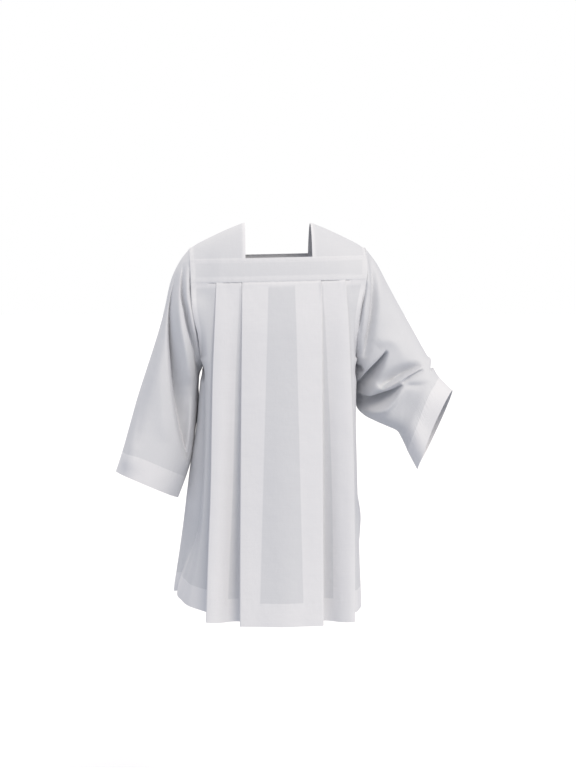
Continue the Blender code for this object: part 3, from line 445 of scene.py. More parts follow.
RIGHT_SLEEVE_BACK_CREASES = [
    # the main valley from the shoulder to the cuff
    Crease(1.4, 0.12, 0.0, [
        (-0.194, -0.085, 0.000, 0.004, 0.008), (-0.200, -0.130, -0.014, 0.004, 0.010),
        (-0.205, -0.180, -0.026, 0.004, 0.012), (-0.207, -0.235, -0.032, 0.004, 0.014),
        (-0.206, -0.290, -0.036, 0.004, 0.018), (-0.203, -0.345, -0.038, 0.004, 0.020),
        (-0.200, -0.395, -0.032, 0.004, 0.018), (-0.197, -0.440, -0.018, 0.004, 0.014),
        (-0.196, -0.475, 0.000, 0.004, 0.010),
    ]),
    # a narrow crease beside it
    Crease(2.0, 0.12, 0.0, [
        (-0.186, -0.100, 0.000, 0.003, 0.005), (-0.186, -0.140, -0.011, 0.003, 0.006),
        (-0.182, -0.185, -0.016, 0.003, 0.006), (-0.176, -0.230, -0.014, 0.003, 0.006),
        (-0.171, -0.270, -0.008, 0.003, 0.005), (-0.169, -0.295, 0.000, 0.003, 0.005),
    ]),
    # the lobe between the two
    Crease(1.7, 0.0, 0.0, [
        (-0.198, -0.150, 0.000, 0.007, 0.007), (-0.195, -0.200, 0.005, 0.008, 0.008),
        (-0.189, -0.250, 0.007, 0.009, 0.009), (-0.184, -0.300, 0.006, 0.009, 0.009),
        (-0.180, -0.345, 0.000, 0.009, 0.009),
    ]),
    # the outer side, which hangs full
    Crease(2.0, 0.0, 0.0, [
        (-0.228, -0.160, 0.000, 0.018, 0.018), (-0.242, -0.215, 0.006, 0.022, 0.022),
        (-0.258, -0.275, 0.011, 0.024, 0.026), (-0.275, -0.335, 0.013, 0.026, 0.028),
        (-0.290, -0.390, 0.013, 0.026, 0.028), (-0.302, -0.440, 0.010, 0.026, 0.028),
        (-0.309, -0.480, 0.006, 0.024, 0.026),
    ]),
    # a shallow trough down the outer side
    Crease(1.8, 0.0, 0.0, [
        (-0.252, -0.225, 0.000, 0.007, 0.010), (-0.262, -0.275, -0.006, 0.008, 0.012),
        (-0.271, -0.330, -0.009, 0.008, 0.013), (-0.278, -0.385, -0.008, 0.008, 0.013),
        (-0.284, -0.435, -0.004, 0.008, 0.012), (-0.288, -0.465, 0.000, 0.008, 0.012),
    ]),
    # a short soft crease towards the cuff
    Crease(1.8, 0.0, 0.0, [
        (-0.232, -0.355, 0.000, 0.006, 0.009), (-0.236, -0.395, -0.006, 0.006, 0.010),
        (-0.240, -0.435, -0.008, 0.006, 0.011), (-0.243, -0.475, -0.006, 0.006, 0.010),
        (-0.246, -0.505, 0.000, 0.006, 0.009),
    ]),
]
LEFT_SLEEVE_BACK_CREASES = [
    # a valley from the shoulder blade to the under side
    Crease(1.6, 0.1, 0.0, [
        (0.190, -0.085, 0.000, 0.005, 0.008), (0.197, -0.130, -0.012, 0.005, 0.010),
        (0.200, -0.180, -0.019, 0.005, 0.012), (0.197, -0.230, -0.021, 0.005, 0.012),
        (0.190, -0.275, -0.016, 0.005, 0.011), (0.184, -0.315, -0.007, 0.005, 0.009),
        (0.181, -0.340, 0.000, 0.005, 0.008),
    ]),
    # a narrow crease beside the armhole seam
    Crease(2.0, 0.0, 0.0, [
        (0.178, -0.120, 0.000, 0.003, 0.004), (0.175, -0.155, -0.009, 0.003, 0.004),
        (0.170, -0.190, -0.011, 0.003, 0.004), (0.166, -0.225, -0.007, 0.003, 0.004),
        (0.164, -0.250, 0.000, 0.003, 0.004),
    ]),
    # a crease that runs in from the elbow
    Crease(1.8, 0.08, -0.1, [
        (0.292, -0.283, 0.000, 0.005, 0.008), (0.272, -0.290, -0.010, 0.005, 0.010),
        (0.250, -0.302, -0.017, 0.005, 0.012), (0.228, -0.320, -0.018, 0.005, 0.012),
        (0.209, -0.342, -0.011, 0.005, 0.010), (0.196, -0.362, 0.000, 0.005, 0.008),
    ]),
    # a lower crease beside it
    Crease(1.8, 0.08, -0.1, [
        (0.303, -0.325, 0.000, 0.005, 0.007), (0.286, -0.337, -0.009, 0.005, 0.009),
        (0.264, -0.354, -0.014, 0.005, 0.011), (0.242, -0.371, -0.012, 0.005, 0.010),
        (0.222, -0.386, -0.006, 0.005, 0.008), (0.209, -0.394, 0.000, 0.005, 0.007),
    ]),
    # the ridge between the two
    Crease(1.7, 0.0, 0.0, [
        (0.284, -0.310, 0.000, 0.008, 0.008), (0.262, -0.324, 0.005, 0.009, 0.009),
        (0.238, -0.342, 0.007, 0.010, 0.010), (0.216, -0.360, 0.005, 0.010, 0.010),
        (0.202, -0.374, 0.000, 0.009, 0.009),
    ]),
    # a crease round the forearm
    Crease(1.8, 0.0, 0.0, [
        (0.327, -0.345, 0.000, 0.005, 0.007), (0.319, -0.372, -0.008, 0.005, 0.008),
        (0.306, -0.400, -0.012, 0.005, 0.009), (0.291, -0.424, -0.009, 0.005, 0.009),
        (0.279, -0.441, 0.000, 0.005, 0.007),
    ]),
]
SLEEVE_CREASES = {
    RIGHT: ((FRONT, RIGHT_SLEEVE_CREASES), (BACK, RIGHT_SLEEVE_BACK_CREASES)),
    LEFT: ((FRONT, LEFT_SLEEVE_CREASES), (BACK, LEFT_SLEEVE_BACK_CREASES)),
}

# long soft waves of a panel, from a height down to the hem; x counts towards the wearer's left
Wave = namedtuple("Wave", "top_x foot_x starts_z width height")
FRONT_WAVES = [
    Wave(-0.115, -0.118, -0.22, 0.016, 0.0020),
    Wave(-0.040, -0.046, -0.34, 0.024, -0.0016),
    Wave(0.006, 0.012, -0.26, 0.030, 0.0022),
    Wave(0.050, 0.046, -0.40, 0.018, -0.0014),
    Wave(0.112, 0.118, -0.24, 0.014, 0.0022),
]
BACK_WAVES = [
    Wave(-0.112, -0.108, -0.26, 0.018, 0.0024),
    Wave(-0.046, -0.034, -0.22, 0.026, 0.0020),
    Wave(0.016, 0.004, -0.36, 0.022, -0.0020),
    Wave(0.060, 0.066, -0.30, 0.018, 0.0018),
    Wave(0.116, 0.108, -0.40, 0.016, -0.0018),
]
WAVES = {FRONT: FRONT_WAVES, BACK: BACK_WAVES}
WAVE_FULL_AFTER = 0.30  # a wave takes this much of the panel's length to reach its height
WAVE_FADE = 0.02  # and dies out over this distance from the pleats' outer edge

# soft folds that hang on the sides below the arms; run is the share of the way from the pleats to the seam
Hang = namedtuple("Hang", "run starts_z width height")
SIDE_HANGS = {
    (FRONT, RIGHT): [Hang(0.30, -0.30, 0.13, 0.0025), Hang(0.62, -0.42, 0.12, -0.0025)],
    (FRONT, LEFT): [Hang(0.34, -0.36, 0.12, -0.0020), Hang(0.66, -0.30, 0.14, 0.0020)],
    (BACK, RIGHT): [
        Hang(0.22, -0.30, 0.09, 0.0050),
        Hang(0.44, -0.24, 0.10, -0.0060),
        Hang(0.70, -0.34, 0.09, 0.0040),
    ],
    (BACK, LEFT): [
        Hang(0.24, -0.26, 0.10, -0.0050),
        Hang(0.50, -0.34, 0.11, 0.0050),
        Hang(0.74, -0.30, 0.09, -0.0040),
    ],
}
HANG_FULL_AFTER = 0.25
HANG_FADES = (0.12, 0.15)  # shares of the way, beside the pleats and beside the seam

# ---------------------------------------------------------------- mesh density
PANEL_ROW_STEP = 0.0066
PANEL_COLUMN_STEP = 0.0035  # this and the next two are rough, and lay out the gathers
STRAP_ROW_STEP = 0.0032
SLEEVE_COLUMN_STEP = 0.0027
PANEL_FOOT_ROWS = 46
PANEL_SIDE_STEPS = 30
BACK_OUTLINE_STEP = 17  # of those, the one at which the back reaches the outline
HEM_ROWS = 9
SEAM_STOPS = 90
BAND_COLUMNS = 120
BAND_ROWS = 16
STRAP_COLUMNS = 34
STRAP_ROWS = 56
SLEEVE_COLUMNS = 300
SLEEVE_ROWS = 156
COLUMN_SAMPLES = 260
SECTION_LENGTH = 0.045
FOLD_PATH_STEPS = 28
CREASE_STEPS = 3


# ---------------------------------------------------------------- helpers
def linear(code):
    """A colour given as sRGB hex, turned to linear."""
    parts = [int(code[k : k + 2], 16) / 255 for k in (1, 3, 5)]
    return tuple(p / 12.92 if p <= 0.04045 else ((p + 0.055) / 1.055) ** 2.4 for p in parts)


def mix(a, b, share):
    return a + (b - a) * share


def smoothstep(value, low, high):
    t = np.clip((value - low) / (high - low), 0.0, 1.0)
    return t * t * (3 - 2 * t)


def within(distance, reach, edge=ALLOWANCE_EDGE):
    """1 nearer than the reach and 0 beyond it, with a soft step between."""
    return 1 - smoothstep(distance, reach - edge, reach + edge)


def hermite(t, start, leave, end, arrive):
    """A cubic from start to end that leaves and arrives at given rates."""
    t2, t3 = t * t, t * t * t
    leaving = (2 * t3 - 3 * t2 + 1) * start + (t3 - 2 * t2 + t) * leave
    return leaving + (3 * t2 - 2 * t3) * end + (t3 - t2) * arrive


def curve_at(rows, keys, at):
    """Rows of numbers at any places among their keys, on a smooth curve through them."""
    at = np.clip(at, keys[0], keys[-1])
    slopes = np.empty_like(rows)
    slopes[1:-1] = (rows[2:] - rows[:-2]) / (keys[2:] - keys[:-2])[:, None]
    slopes[0] = (rows[1] - rows[0]) / (keys[1] - keys[0])
    slopes[-1] = (rows[-1] - rows[-2]) / (keys[-1] - keys[-2])
    i = np.clip(np.searchsorted(keys, at, side="right") - 1, 0, len(keys) - 2)
    step = (keys[i + 1] - keys[i])[..., None]
    t = (at - keys[i])[..., None] / step
    return hermite(t, rows[i], slopes[i] * step, rows[i + 1], slopes[i + 1] * step)


def table_at(table, at):
    """A table's row at any values of its first column, as arrays."""
    rows = np.array(table, float)
    return type(table[0])(*np.moveaxis(curve_at(rows, rows[:, 0], at), -1, 0))


def runs(points, axis):
    """The distance run along one axis of a grid of points, from its start to each of them."""
    steps = np.linalg.norm(np.diff(points, axis=axis), axis=-1)
    return np.concatenate((np.zeros_like(steps.take([0], axis)), np.cumsum(steps, axis)), axis)


def points_at(line, run, stops):
    """Points of a line at distances along it; run has the distance of each point that it is given by."""
    return np.stack([np.interp(stops, run, column) for column in line.T], -1)


def unit(vectors):
    return vectors / np.linalg.norm(vectors, axis=-1, keepdims=True)


def yoke_seam_z(x):
    return YOKE_SEAM_Z + YOKE_TILT * x


def armhole_x(z, side):
    edge = table_at(ARMHOLE_EDGE, z)
    return edge.right_x if side == RIGHT else edge.left_x


def armhole_depth(z, face):
    up = np.clip((z - ARMHOLE_MID_Z) / ARMHOLE_HALF_HEIGHT, -1.0, 1.0)
    return ARMHOLE_HALF_DEPTH * np.sqrt(1 - up * up) + face * SHOULDER_Y


# a grid of points on a sheet of cloth: closed round or not, the side that faces out, how many more layers lie
# inside, how doubled the cloth looks, how far its face stands out, and the row where its hem starts
Form = namedtuple("Form", "points closed facing inward layers proud hem_row")


def seam_swell(from_edge, along):
    """The slight roll of cloth between a seam's edge and its topstitching."""
    roll = ROLL_HEIGHT * np.exp(-(((from_edge - ROLL_PLACE) / ROLL_WIDTH) ** 2))
    return roll + pucker(along, from_edge, TOPSTITCH_REACH)


def pucker(along, away, reach):
    """Small uneven gathers beside a line of sewing, at distances along it and away from it."""
    # two waves, one of which drifts, so that no gather is like the next
    first, drift, second = (along / length for length in GATHER_LENGTHS)
    beat = np.sin(first + 1.9 * np.sin(drift)) + 0.6 * np.sin(second + 2.3)
    return SEAM_PUCKER * beat * np.exp(-((away / reach) ** 2))


# ---------------------------------------------------------------- pleated panels
def pleat_edges(level, side):
    return (level.inner_right, level.outer_right) if side == RIGHT else (level.inner_left, level.outer_left)


def armhole_end_z(face):
    """Where a panel's edge leaves the armhole: at the vent in front, at the armhole's foot behind."""
    return VENT_TOP_Z if face == FRONT else ARMHOLE_FOOT_Z


def seam_line_depth(x, side, face):
    """How far out the seam between yoke and panel is at x, a distance from the centre."""
    level = table_at(LEVELS[face], YOKE_SEAM_Z)
    outer_x = pleat_edges(level, side)[1]
    flush = mix(level.centre_depth, level.edge_depth, (x / outer_x) ** 2)
    end_x = armhole_x(YOKE_SEAM_Z, side)
    beside = smoothstep(x, outer_x - FLUSH_PAST, end_x + FLUSH_PAST)
    return mix(flush, armhole_depth(YOKE_SEAM_Z, face), beside)


def side_end(face, side, z):
    """Where a panel's side edge is at heights, as distance and depth, and the way the cloth runs into it."""
    top = armhole_end_z(face)
    turned = smoothstep(-z, -WAY_TURNS_Z[0], -WAY_TURNS_Z[1])[..., None]
    edge = np.stack((armhole_x(z, side), armhole_depth(z, face)), -1)
    edge_way = unit(mix(np.array(WAY_AT_YOKE), np.array(WAY_AT_FOOT), turned))
    row = table_at(SIDES[side], np.minimum(z, VENT_FOOT_Z))
    open_way = np.array((face * WAY_AT_FOOT[0], WAY_AT_FOOT[1]))
    way = unit(mix(open_way, np.array(WAY_IN_VALLEY[face]), row.tucked[..., None]))
    seam = np.stack((row.seam_x, -face * row.seam_front), -1) - way * mix(*SEAM_GAPS, row.tucked)[..., None]
    top_point = np.array((float(armhole_x(top, side)), float(armhole_depth(top, face))))
    down = np.clip((z - top) / (VENT_FOOT_Z - top), 0.0, 1.0)
    bow = np.stack((VENT_BOW * np.sin(math.pi * down), np.zeros_like(down)), -1)
    vent = mix(top_point, seam, down[..., None]) - bow
    seam = np.where((z > VENT_FOOT_Z)[..., None], vent, seam)
    above = (z >= top - 1e-6)[..., None]
    return np.where(above, edge, seam), np.where(above, edge_way, way)


def span(a, out_way, b, in_way, count):
    """Steps along smooth curves from points a, which they leave in one way, to b, reached in another."""
    least = SPAN_LEAST * np.linalg.norm(b - a, axis=-1)
    leave_by = out_way * (SPAN_RATE * np.maximum(((b - a) * out_way).sum(-1), least))[:, None]
    arrive_by = in_way * (SPAN_RATE * np.maximum(((b - a) * in_way).sum(-1), least))[:, None]
    t = ((np.arange(count) + 1) / count)[None, :, None]
    return hermite(t, a[:, None], leave_by[:, None], b[:, None], arrive_by[:, None])


def pleated_section(face, side, z):
    """A panel's sections from the centre past its pleats: distance, outward depth and doubled cloth."""
    level = table_at(LEVELS[face], z)
    inner_x, outer_x = pleat_edges(level, side)
    opened = np.clip((YOKE_SEAM_Z - z) / (YOKE_SEAM_Z - FRONT_HEM_Z), 0.0, 1.0) ** OPENING_POWER
    pleats = Pleats(*(mix(a, b, opened) for a, b in zip(PRESSED, OPENED[face])))
    pitch = 2 * mix(LAYER_PITCH / 2, FOLD_RADIUS_AT_HEM, opened)
    fold_1, clear_1 = inner_x - pleats.inner_depth, inner_x + PLATEAU_PAST_FOLD
    fold_2 = np.maximum(outer_x - pleats.outer_depth, clear_1 + PLATEAU_PAST_FOLD)
    clear_2 = outer_x + PLATEAU_PAST_FOLD

    # the cloth's depth along its layers, from the centre on: over the inner pleat, back under it to its
    # hidden fold, over the outer pleat, back under that, and out to the side
    def front(x):
        return mix(level.centre_depth, level.edge_depth, (x / outer_x) ** 2)

    def return_1(x):
        return front(x) - mix(pleats.inner_in, pitch, (x - fold_1) / (inner_x - fold_1))

    def middle(x):
        return front(x) - (pleats.inner_in + pitch) * (1 - smoothstep(x, clear_1, outer_x))

    def return_2(x):
        return middle(x) - mix(pleats.outer_in, pitch, (x - fold_2) / (outer_x - fold_2))

    def side_layer(x):
        return middle(x) - mix(pleats.outer_in + pitch, pleats.side_in, (x - fold_2) / (outer_x - fold_2))

    blocks = [(0 * inner_x, front(0 * inner_x), 0 * inner_x)]

    def run(line, start, stop, steps, layered):
        x = mix(start, stop, (np.arange(steps) + 1) / steps)
        blocks.append((x, line(x), np.full(x.shape, layered)))

    def turn(x, outer, inner, bulge, steps):
        angles = math.pi * (np.arange(steps) + 1) / steps
        reach = (outer - inner) / 2
        across = x + bulge * reach * np.sin(angles)
        blocks.append((across, outer - reach * (1 - np.cos(angles)), np.ones_like(across)))

    edge = ALLOWANCE_EDGE
    run(front, 0 * fold_1, fold_1 - edge, 8, 0.0)
    run(front, fold_1 - edge, fold_1 + edge, 1, 1.0)
    run(front, fold_1 + edge, inner_x, 11, 1.0)
    turn(inner_x, front(inner_x), return_1(inner_x), 1, 10)
    run(return_1, inner_x, fold_1, 5, 1.0)
    turn(fold_1, return_1(fold_1), middle(fold_1), -1, 4)
    run(middle, fold_1, inner_x, 5, 1.0)
    run(middle, inner_x, clear_1, 1, 1.0)
    run(middle, clear_1, fold_2 - edge, 3, 0.0)
    run(middle, fold_2 - edge, fold_2 + edge, 1, 1.0)
    run(middle, fold_2 + edge, outer_x, 14, 1.0)
    turn(outer_x, middle(outer_x), return_2(outer_x), 1, 10)
    run(return_2, outer_x, fold_2, 5, 1.0)
    turn(fold_2, return_2(fold_2), side_layer(fold_2), -1, 4)
    run(side_layer, fold_2, outer_x, 5, 1.0)
    run(side_layer, outer_x, clear_2, 1, 0.0)
    return (np.concatenate(parts, 1) for parts in zip(*blocks))


def half_section(face, side, z, side_z):
    """A panel's sections from the centre to the side edge: distance, outward depth and doubled cloth."""
    x, depth, layers = pleated_section(face, side, z[:, None])
    start = np.stack((x[:, -1], depth[:, -1]), -1)
    leave = unit(start - np.stack((x[:, -2], depth[:, -2]), -1))
    end, arrive = side_end(face, side, side_z)
    sides = span(start, leave, end, arrive, PANEL_SIDE_STEPS)
    if face == BACK:
        around = table_at(SIDES[side], side_z)
        outline = np.stack((around.outline_x, around.outline_back), -1)
        forward = np.broadcast_to(np.array((0.0, -1.0)), outline.shape)
        behind = span(start, leave, outline, forward, BACK_OUTLINE_STEP)
        ahead = span(outline, forward, end, arrive, PANEL_SIDE_STEPS - BACK_OUTLINE_STEP)
        sides = np.where((side_z < ARMHOLE_FOOT_Z)[:, None, None], np.concatenate((behind, ahead), 1), sides)
    flat_x = mix(start[:, :1], end[:, :1], (np.arange(PANEL_SIDE_STEPS) + 1) / PANEL_SIDE_STEPS)
    sunk = seam_line_depth(x[:, -1:], side, face) - depth[:, -1:]
    flat_depth = seam_line_depth(flat_x, side, face) - sunk * (1 - smoothstep(flat_x, x[:, -1:], FLAT_FROM_X))
    free = smoothstep(-z, -YOKE_SEAM_Z, -FREE_FROM_YOKE_Z)[:, None]
    x = np.concatenate((x, mix(flat_x, sides[..., 0], free)), 1)
    depth = np.concatenate((depth, mix(flat_depth, sides[..., 1], free)), 1)
    return x, depth, np.concatenate((layers, np.zeros(flat_x.shape)), 1)


# the rows of a panel: the height that each keeps above the hem's rise, its share of the way from there down
# to the hem, how far it laps up behind the yoke, and which row is the hem's top
Rows = namedtuple("Rows", "upper_z share lap hem_row")


def panel_rows():
    count = round((YOKE_SEAM_Z - HEM_RISE_STARTS_Z) / PANEL_ROW_STEP)
    upper = YOKE_SEAM_Z + (HEM_RISE_STARTS_Z - YOKE_SEAM_Z) * np.arange(count) / count
    foot = HEM_RISE_STARTS_Z - FRONT_HEM_Z
    above = np.linspace(0.0, 1 - HEM_DEPTH / foot - HEM_EDGE / foot, PANEL_FOOT_ROWS)
    below = np.linspace(1 - HEM_DEPTH / foot, 1.0, HEM_ROWS)
    laps = LAP_UNDER * np.array(LAP_SHARES)
    share = np.concatenate((np.zeros(len(laps) + count), above, below))
    starts = np.full(len(above) + len(below), HEM_RISE_STARTS_Z)
    upper_z = np.concatenate((np.full(len(laps), YOKE_SEAM_Z), upper, starts))
    lap = np.concatenate((laps, np.zeros(len(share) - len(laps))))
    return Rows(upper_z, share, lap, len(share) - len(below))


def half_panel(face, side, rows):
    """Half of a panel from the centre outwards: its points, its layers and how far its face stands out."""
    base_z = mix(rows.upper_z, HEM_Z[face], rows.share)
    side_z = mix(rows.upper_z, SIDE_HEM_Z[side], rows.share)
    x, depth, layers = half_section(face, side, base_z, side_z)
    lengths = runs(np.stack((x, depth), -1), 1)
    along = lengths / lengths[:, -1:]
    tilt = YOKE_TILT * (1 - smoothstep(-base_z, -YOKE_SEAM_Z, -LEVEL_FROM_Z))[:, None]
    rise = (SIDE_HEM_Z[side] - HEM_Z[face]) * along**HEM_RISE_POWER * rows.share[:, None]
    z = base_z[:, None] + rise + tilt * side * x + rows.lap[:, None]
    depth = depth + waves_at(WAVES[face], side * x, z, x[:, -PANEL_SIDE_STEPS - 1, None])
    x, depth = hang_sides(SIDE_HANGS[face, side], x, depth, z)
    depth = depth + meet_yoke(face, side, x, depth, x[len(LAP_SHARES)], base_z)
    depth = depth - (LAP_SINK * smoothstep(rows.lap, 0.0, LAP_STEP) + LAP_LEAN * rows.lap)[:, None]
    to_edge = lengths[:, -1:] - lengths
    sewn = (side_z >= armhole_end_z(face) - ARMHOLE_END_PAST)[:, None]
    layers = np.maximum(layers, within(to_edge, ARMHOLE_ALLOWANCE) * sewn)
    return np.stack((side * x, face * depth, z), -1), layers, seam_swell(to_edge, z) * sewn


@lru_cache(None)
def panel_form(face):
    """A panel's grid from the wearer's right to the left; its first rows lap up behind the yoke."""
    rows = panel_rows()
    right, left = half_panel(face, RIGHT, rows), half_panel(face, LEFT, rows)
    points, layers, proud = (np.concatenate((a[:, ::-1], b[:, 1:]), 1) for a, b in zip(right, left))
    below_seam = (YOKE_SEAM_Z - mix(rows.upper_z, HEM_Z[face], rows.share))[:, None]
    layers = np.maximum(layers, within(below_seam, PANEL_ALLOWANCE, HEM_EDGE))
    layers[rows.hem_row :] = 1.0
    inward = np.zeros_like(layers)
    inward[rows.hem_row :] = 1.0
    across = np.arange(points.shape[1])[None, :] * PANEL_COLUMN_STEP
    foot = HEM_RISE_STARTS_Z - FRONT_HEM_Z
    from_hem = (rows.share - (1 - HEM_DEPTH / foot))[:, None] * foot
    proud += pucker(across, from_hem, HEM_REACH)
    proud += pucker(across + YOKE_GATHERS_FROM, np.maximum(below_seam, 0.0), YOKE_REACH)
    return Form(points, False, face, inward, layers, proud, rows.hem_row)


def meet_yoke(face, side, x, depth, seam_x, base_z):
    """How far forward a half panel comes at its top, so that its outer layer lies close under the yoke."""
    seam_depth = depth[np.argmax(base_z <= YOKE_SEAM_Z)]
    stops = np.linspace(0.0, seam_x.max(), SEAM_STOPS)
    share = (stops[:, None] - seam_x[:-1]) / (np.diff(seam_x) + 1e-9)
    layer = np.where((share >= 0) & (share <= 1), mix(seam_depth[:-1], seam_depth[1:], share), -1.0)
    yoke_depth = face * yoke_points(side * stops, np.full(SEAM_STOPS, SEAM_TURN), face, side)[:, 1]
    lift = np.maximum(yoke_depth - SEAM_SEAT - layer.max(1), 0.0)
    fade = 1 - smoothstep(YOKE_SEAM_Z - base_z, 0.0, SEAM_BLEND)
    return np.interp(x, stops, lift) * fade[:, None]


def waves_at(waves, x, z, edge_x):
    """The lift of a panel's long waves; it dies out at the pleats' outer edge."""
    lift = np.zeros_like(x)
    for wave in waves:
        below = wave.starts_z - z
        middle = mix(wave.top_x, wave.foot_x, np.clip(below / (wave.starts_z - FRONT_HEM_Z), 0.0, 1.0))
        grown = smoothstep(below / WAVE_FULL_AFTER, 0.0, 1.0)
        lift += wave.height * grown * np.exp(-(((x - middle) / wave.width) ** 2))
    return lift * smoothstep(edge_x - np.abs(x), 0.0, WAVE_FADE)


def hang_sides(hangs, x, depth, z):
    """A half panel's sections with the soft folds between the pleats and the side seam."""
    run = np.zeros(x.shape[1])
    run[-PANEL_SIDE_STEPS - 1 :] = np.linspace(0.0, 1.0, PANEL_SIDE_STEPS + 1)
    lift = np.zeros_like(x)
    for hang in hangs:
        grown = smoothstep((hang.starts_z - z) / HANG_FULL_AFTER, 0.0, 1.0)
        lift += hang.height * grown * np.exp(-(((run - hang.run) / hang.width) ** 2))
    lift *= smoothstep(run, 0.0, HANG_FADES[0]) * smoothstep(1 - run, 0.0, HANG_FADES[1])
    along = unit(np.stack((np.gradient(x, axis=1), np.gradient(depth, axis=1)), -1) + 1e-12)
    return x - along[..., 1] * lift, depth + along[..., 0] * lift


# ---------------------------------------------------------------- yoke
TIP_Z = ARMHOLE_MID_Z + ARMHOLE_HALF_HEIGHT
SEAM_TURN = math.acos(1 - (TIP_Z - YOKE_SEAM_Z) / ARMHOLE_HALF_HEIGHT)


def yoke_edge_x(turn, side):
    return armhole_x(TIP_Z - ARMHOLE_HALF_HEIGHT * (1 - np.cos(turn)), side)


def yoke_points(x, turn, face, side):
    """Points of the yoke at x and at an angle from the ridge towards a lower seam."""
    ridge = table_at(SHOULDER_LINE, np.abs(x)).ridge_z
    height = (ridge - yoke_seam_z(x)) / (1 - math.cos(SEAM_TURN))
    depth = (seam_line_depth(np.abs(x), side, face) - face * SHOULDER_Y) / math.sin(SEAM_TURN)
    return np.stack((x, SHOULDER_Y + face * depth * np.sin(turn), ridge - height * (1 - np.cos(turn))), -1)


def turn_at_band_top(x, face):
    flat_top = FRONT_BAND_TOP_Z if face == FRONT else BACK_BAND_TOP_Z
    ridge = table_at(SHOULDER_LINE, np.abs(x)).ridge_z
    share = (ridge - flat_top - YOKE_TILT * x) / (ridge - yoke_seam_z(x))
    return np.arccos(1 - share * (1 - math.cos(SEAM_TURN)))


@lru_cache(None)
def band_form(face):
    """A straight band of the yoke from its top edge to its lower one; its turned edges stand proud."""
    down = np.linspace(0.0, 1.0, BAND_ROWS + 1)[:, None]
    halves = []
    for side in (RIGHT, LEFT):
        share = np.linspace(0.0, 1.0, BAND_COLUMNS // 2 + 1)[None, :]
        guess = side * share * yoke_edge_x(SEAM_TURN / 2, side)
        turn = mix(turn_at_band_top(guess, face), SEAM_TURN, down)
        half = yoke_points(side * share * yoke_edge_x(turn, side), turn, face, side)
        halves.append(half[:, ::-1] if side == RIGHT else half[:, 1:])
    points = np.concatenate(halves, 1)
    from_top, across = runs(points, 0), runs(points, 1)
    to_edge = np.minimum(from_top, from_top[-1:] - from_top)
    to_end = np.minimum(across, across[:, -1:] - across)
    doubled = within(np.minimum(to_edge - BAND_TURN_MORE, to_end), ARMHOLE_ALLOWANCE)
    rolled = YOKE_PROUD * smoothstep(to_edge, *YOKE_ROLL)
    proud = rolled + seam_swell(to_edge, across) + seam_swell(to_end, from_top)
    return Form(points, False, face, doubled, YOKE_SHOWS_THROUGH * doubled, proud, None)


@lru_cache(None)
def strap_form(side):
    """A shoulder piece from the front band over the ridge to the back band; its ends lap under the bands."""
    lap = LAP_UNDER / ARMHOLE_HALF_HEIGHT
    out = np.linspace(0.0, 1.0, STRAP_COLUMNS + 1)
    rows = []
    for step in np.linspace(-1.0, 1.0, STRAP_ROWS + 1):
        face = FRONT if step <= 0 else BACK
        guess = side * mix(NECK_HALF_WIDTH, yoke_edge_x(SEAM_TURN / 2, side), out)
        turn = (turn_at_band_top(guess, face) + lap) * abs(step)
        x = side * mix(NECK_HALF_WIDTH, yoke_edge_x(turn, side), out)
        rows.append(yoke_points(x, turn, face, side))
    points = np.array(rows)
    across = runs(points, 1)
    to_armhole = across[:, -1:] - across
    along = np.arange(len(points))[:, None] * STRAP_ROW_STEP + 0 * across
    neck, armhole = within(across, NECK_TURN), within(to_armhole, ARMHOLE_ALLOWANCE)
    shown = np.maximum(neck, YOKE_SHOWS_THROUGH * armhole)
    proud = seam_swell(across, along) + seam_swell(to_armhole, along)
    return Form(points, False, side, np.maximum(neck, armhole), shown, proud, None)


# ---------------------------------------------------------------- sleeves
def edge_line(form, column):
    """The points of one column of a form and their outward ways."""
    normals = grid_normals(form.points, False, form.facing)
    return np.concatenate((form.points, normals), 2)[:, column]


def armhole_line(side):
    """The body's edge round an armhole at even distances, from the tip down the front and up the back."""
    outer = 0 if side == RIGHT else -1
    front, back = (edge_line(panel_form(face), outer) for face in (FRONT, BACK))
    band_front, band_back = (edge_line(band_form(face), outer) for face in (FRONT, BACK))
    strap = edge_line(strap_form(side), -1)
    strap_front, strap_back = strap[STRAP_ROWS // 2 :: -1], strap[STRAP_ROWS // 2 :]
    # in front the panel ends at the vent, and below it the armhole's own curve goes on
    turn = np.radians(np.arange(*ARMHOLE_FOOT_TURNS))
    z = ARMHOLE_MID_Z + ARMHOLE_HALF_HEIGHT * np.cos(turn)
    turn, z = turn[z < VENT_TOP_Z], z[z < VENT_TOP_Z]
    foot = np.stack((side * armhole_x(z, side), -armhole_depth(z, FRONT), z), -1)
    foot_ways = np.stack((0 * z, -np.sin(turn), np.cos(turn)), -1)
    in_front = (front[:, 2] <= band_front[-1, 2] + 1e-6) & (front[:, 2] > VENT_TOP_Z)
    behind = (back[:, 2] <= band_back[-1, 2] + 1e-6) & (back[:, 2] >= ARMHOLE_FOOT_Z + JOIN_AT_FOOT)
    parts = [
        strap_front[strap_front[:, 2] > band_front[0, 2] + JOIN_AT_BAND],
        band_front[:-1],
        front[in_front],
        np.concatenate((foot, foot_ways), 1),
        back[behind][::-1],
        band_back[:-1][::-1],
        strap_back[strap_back[:, 2] > band_back[0, 2] + JOIN_AT_BAND][::-1],
    ]
    line = np.concatenate(parts + [parts[0][:1]])
    run = runs(line[:, :3], 0)
    even = points_at(line, run, run[-1] * np.arange(SLEEVE_COLUMNS) / SLEEVE_COLUMNS)
    return even[:, :3], unit(even[:, 3:])


def fold_path(fold):
    """Places and angles along a fold, on a smooth curve through its stops."""
    stops = np.array(fold.stops, float)
    return curve_at(stops, np.linspace(0.0, 1.0, len(stops)), np.linspace(0.0, 1.0, FOLD_PATH_STEPS + 1))


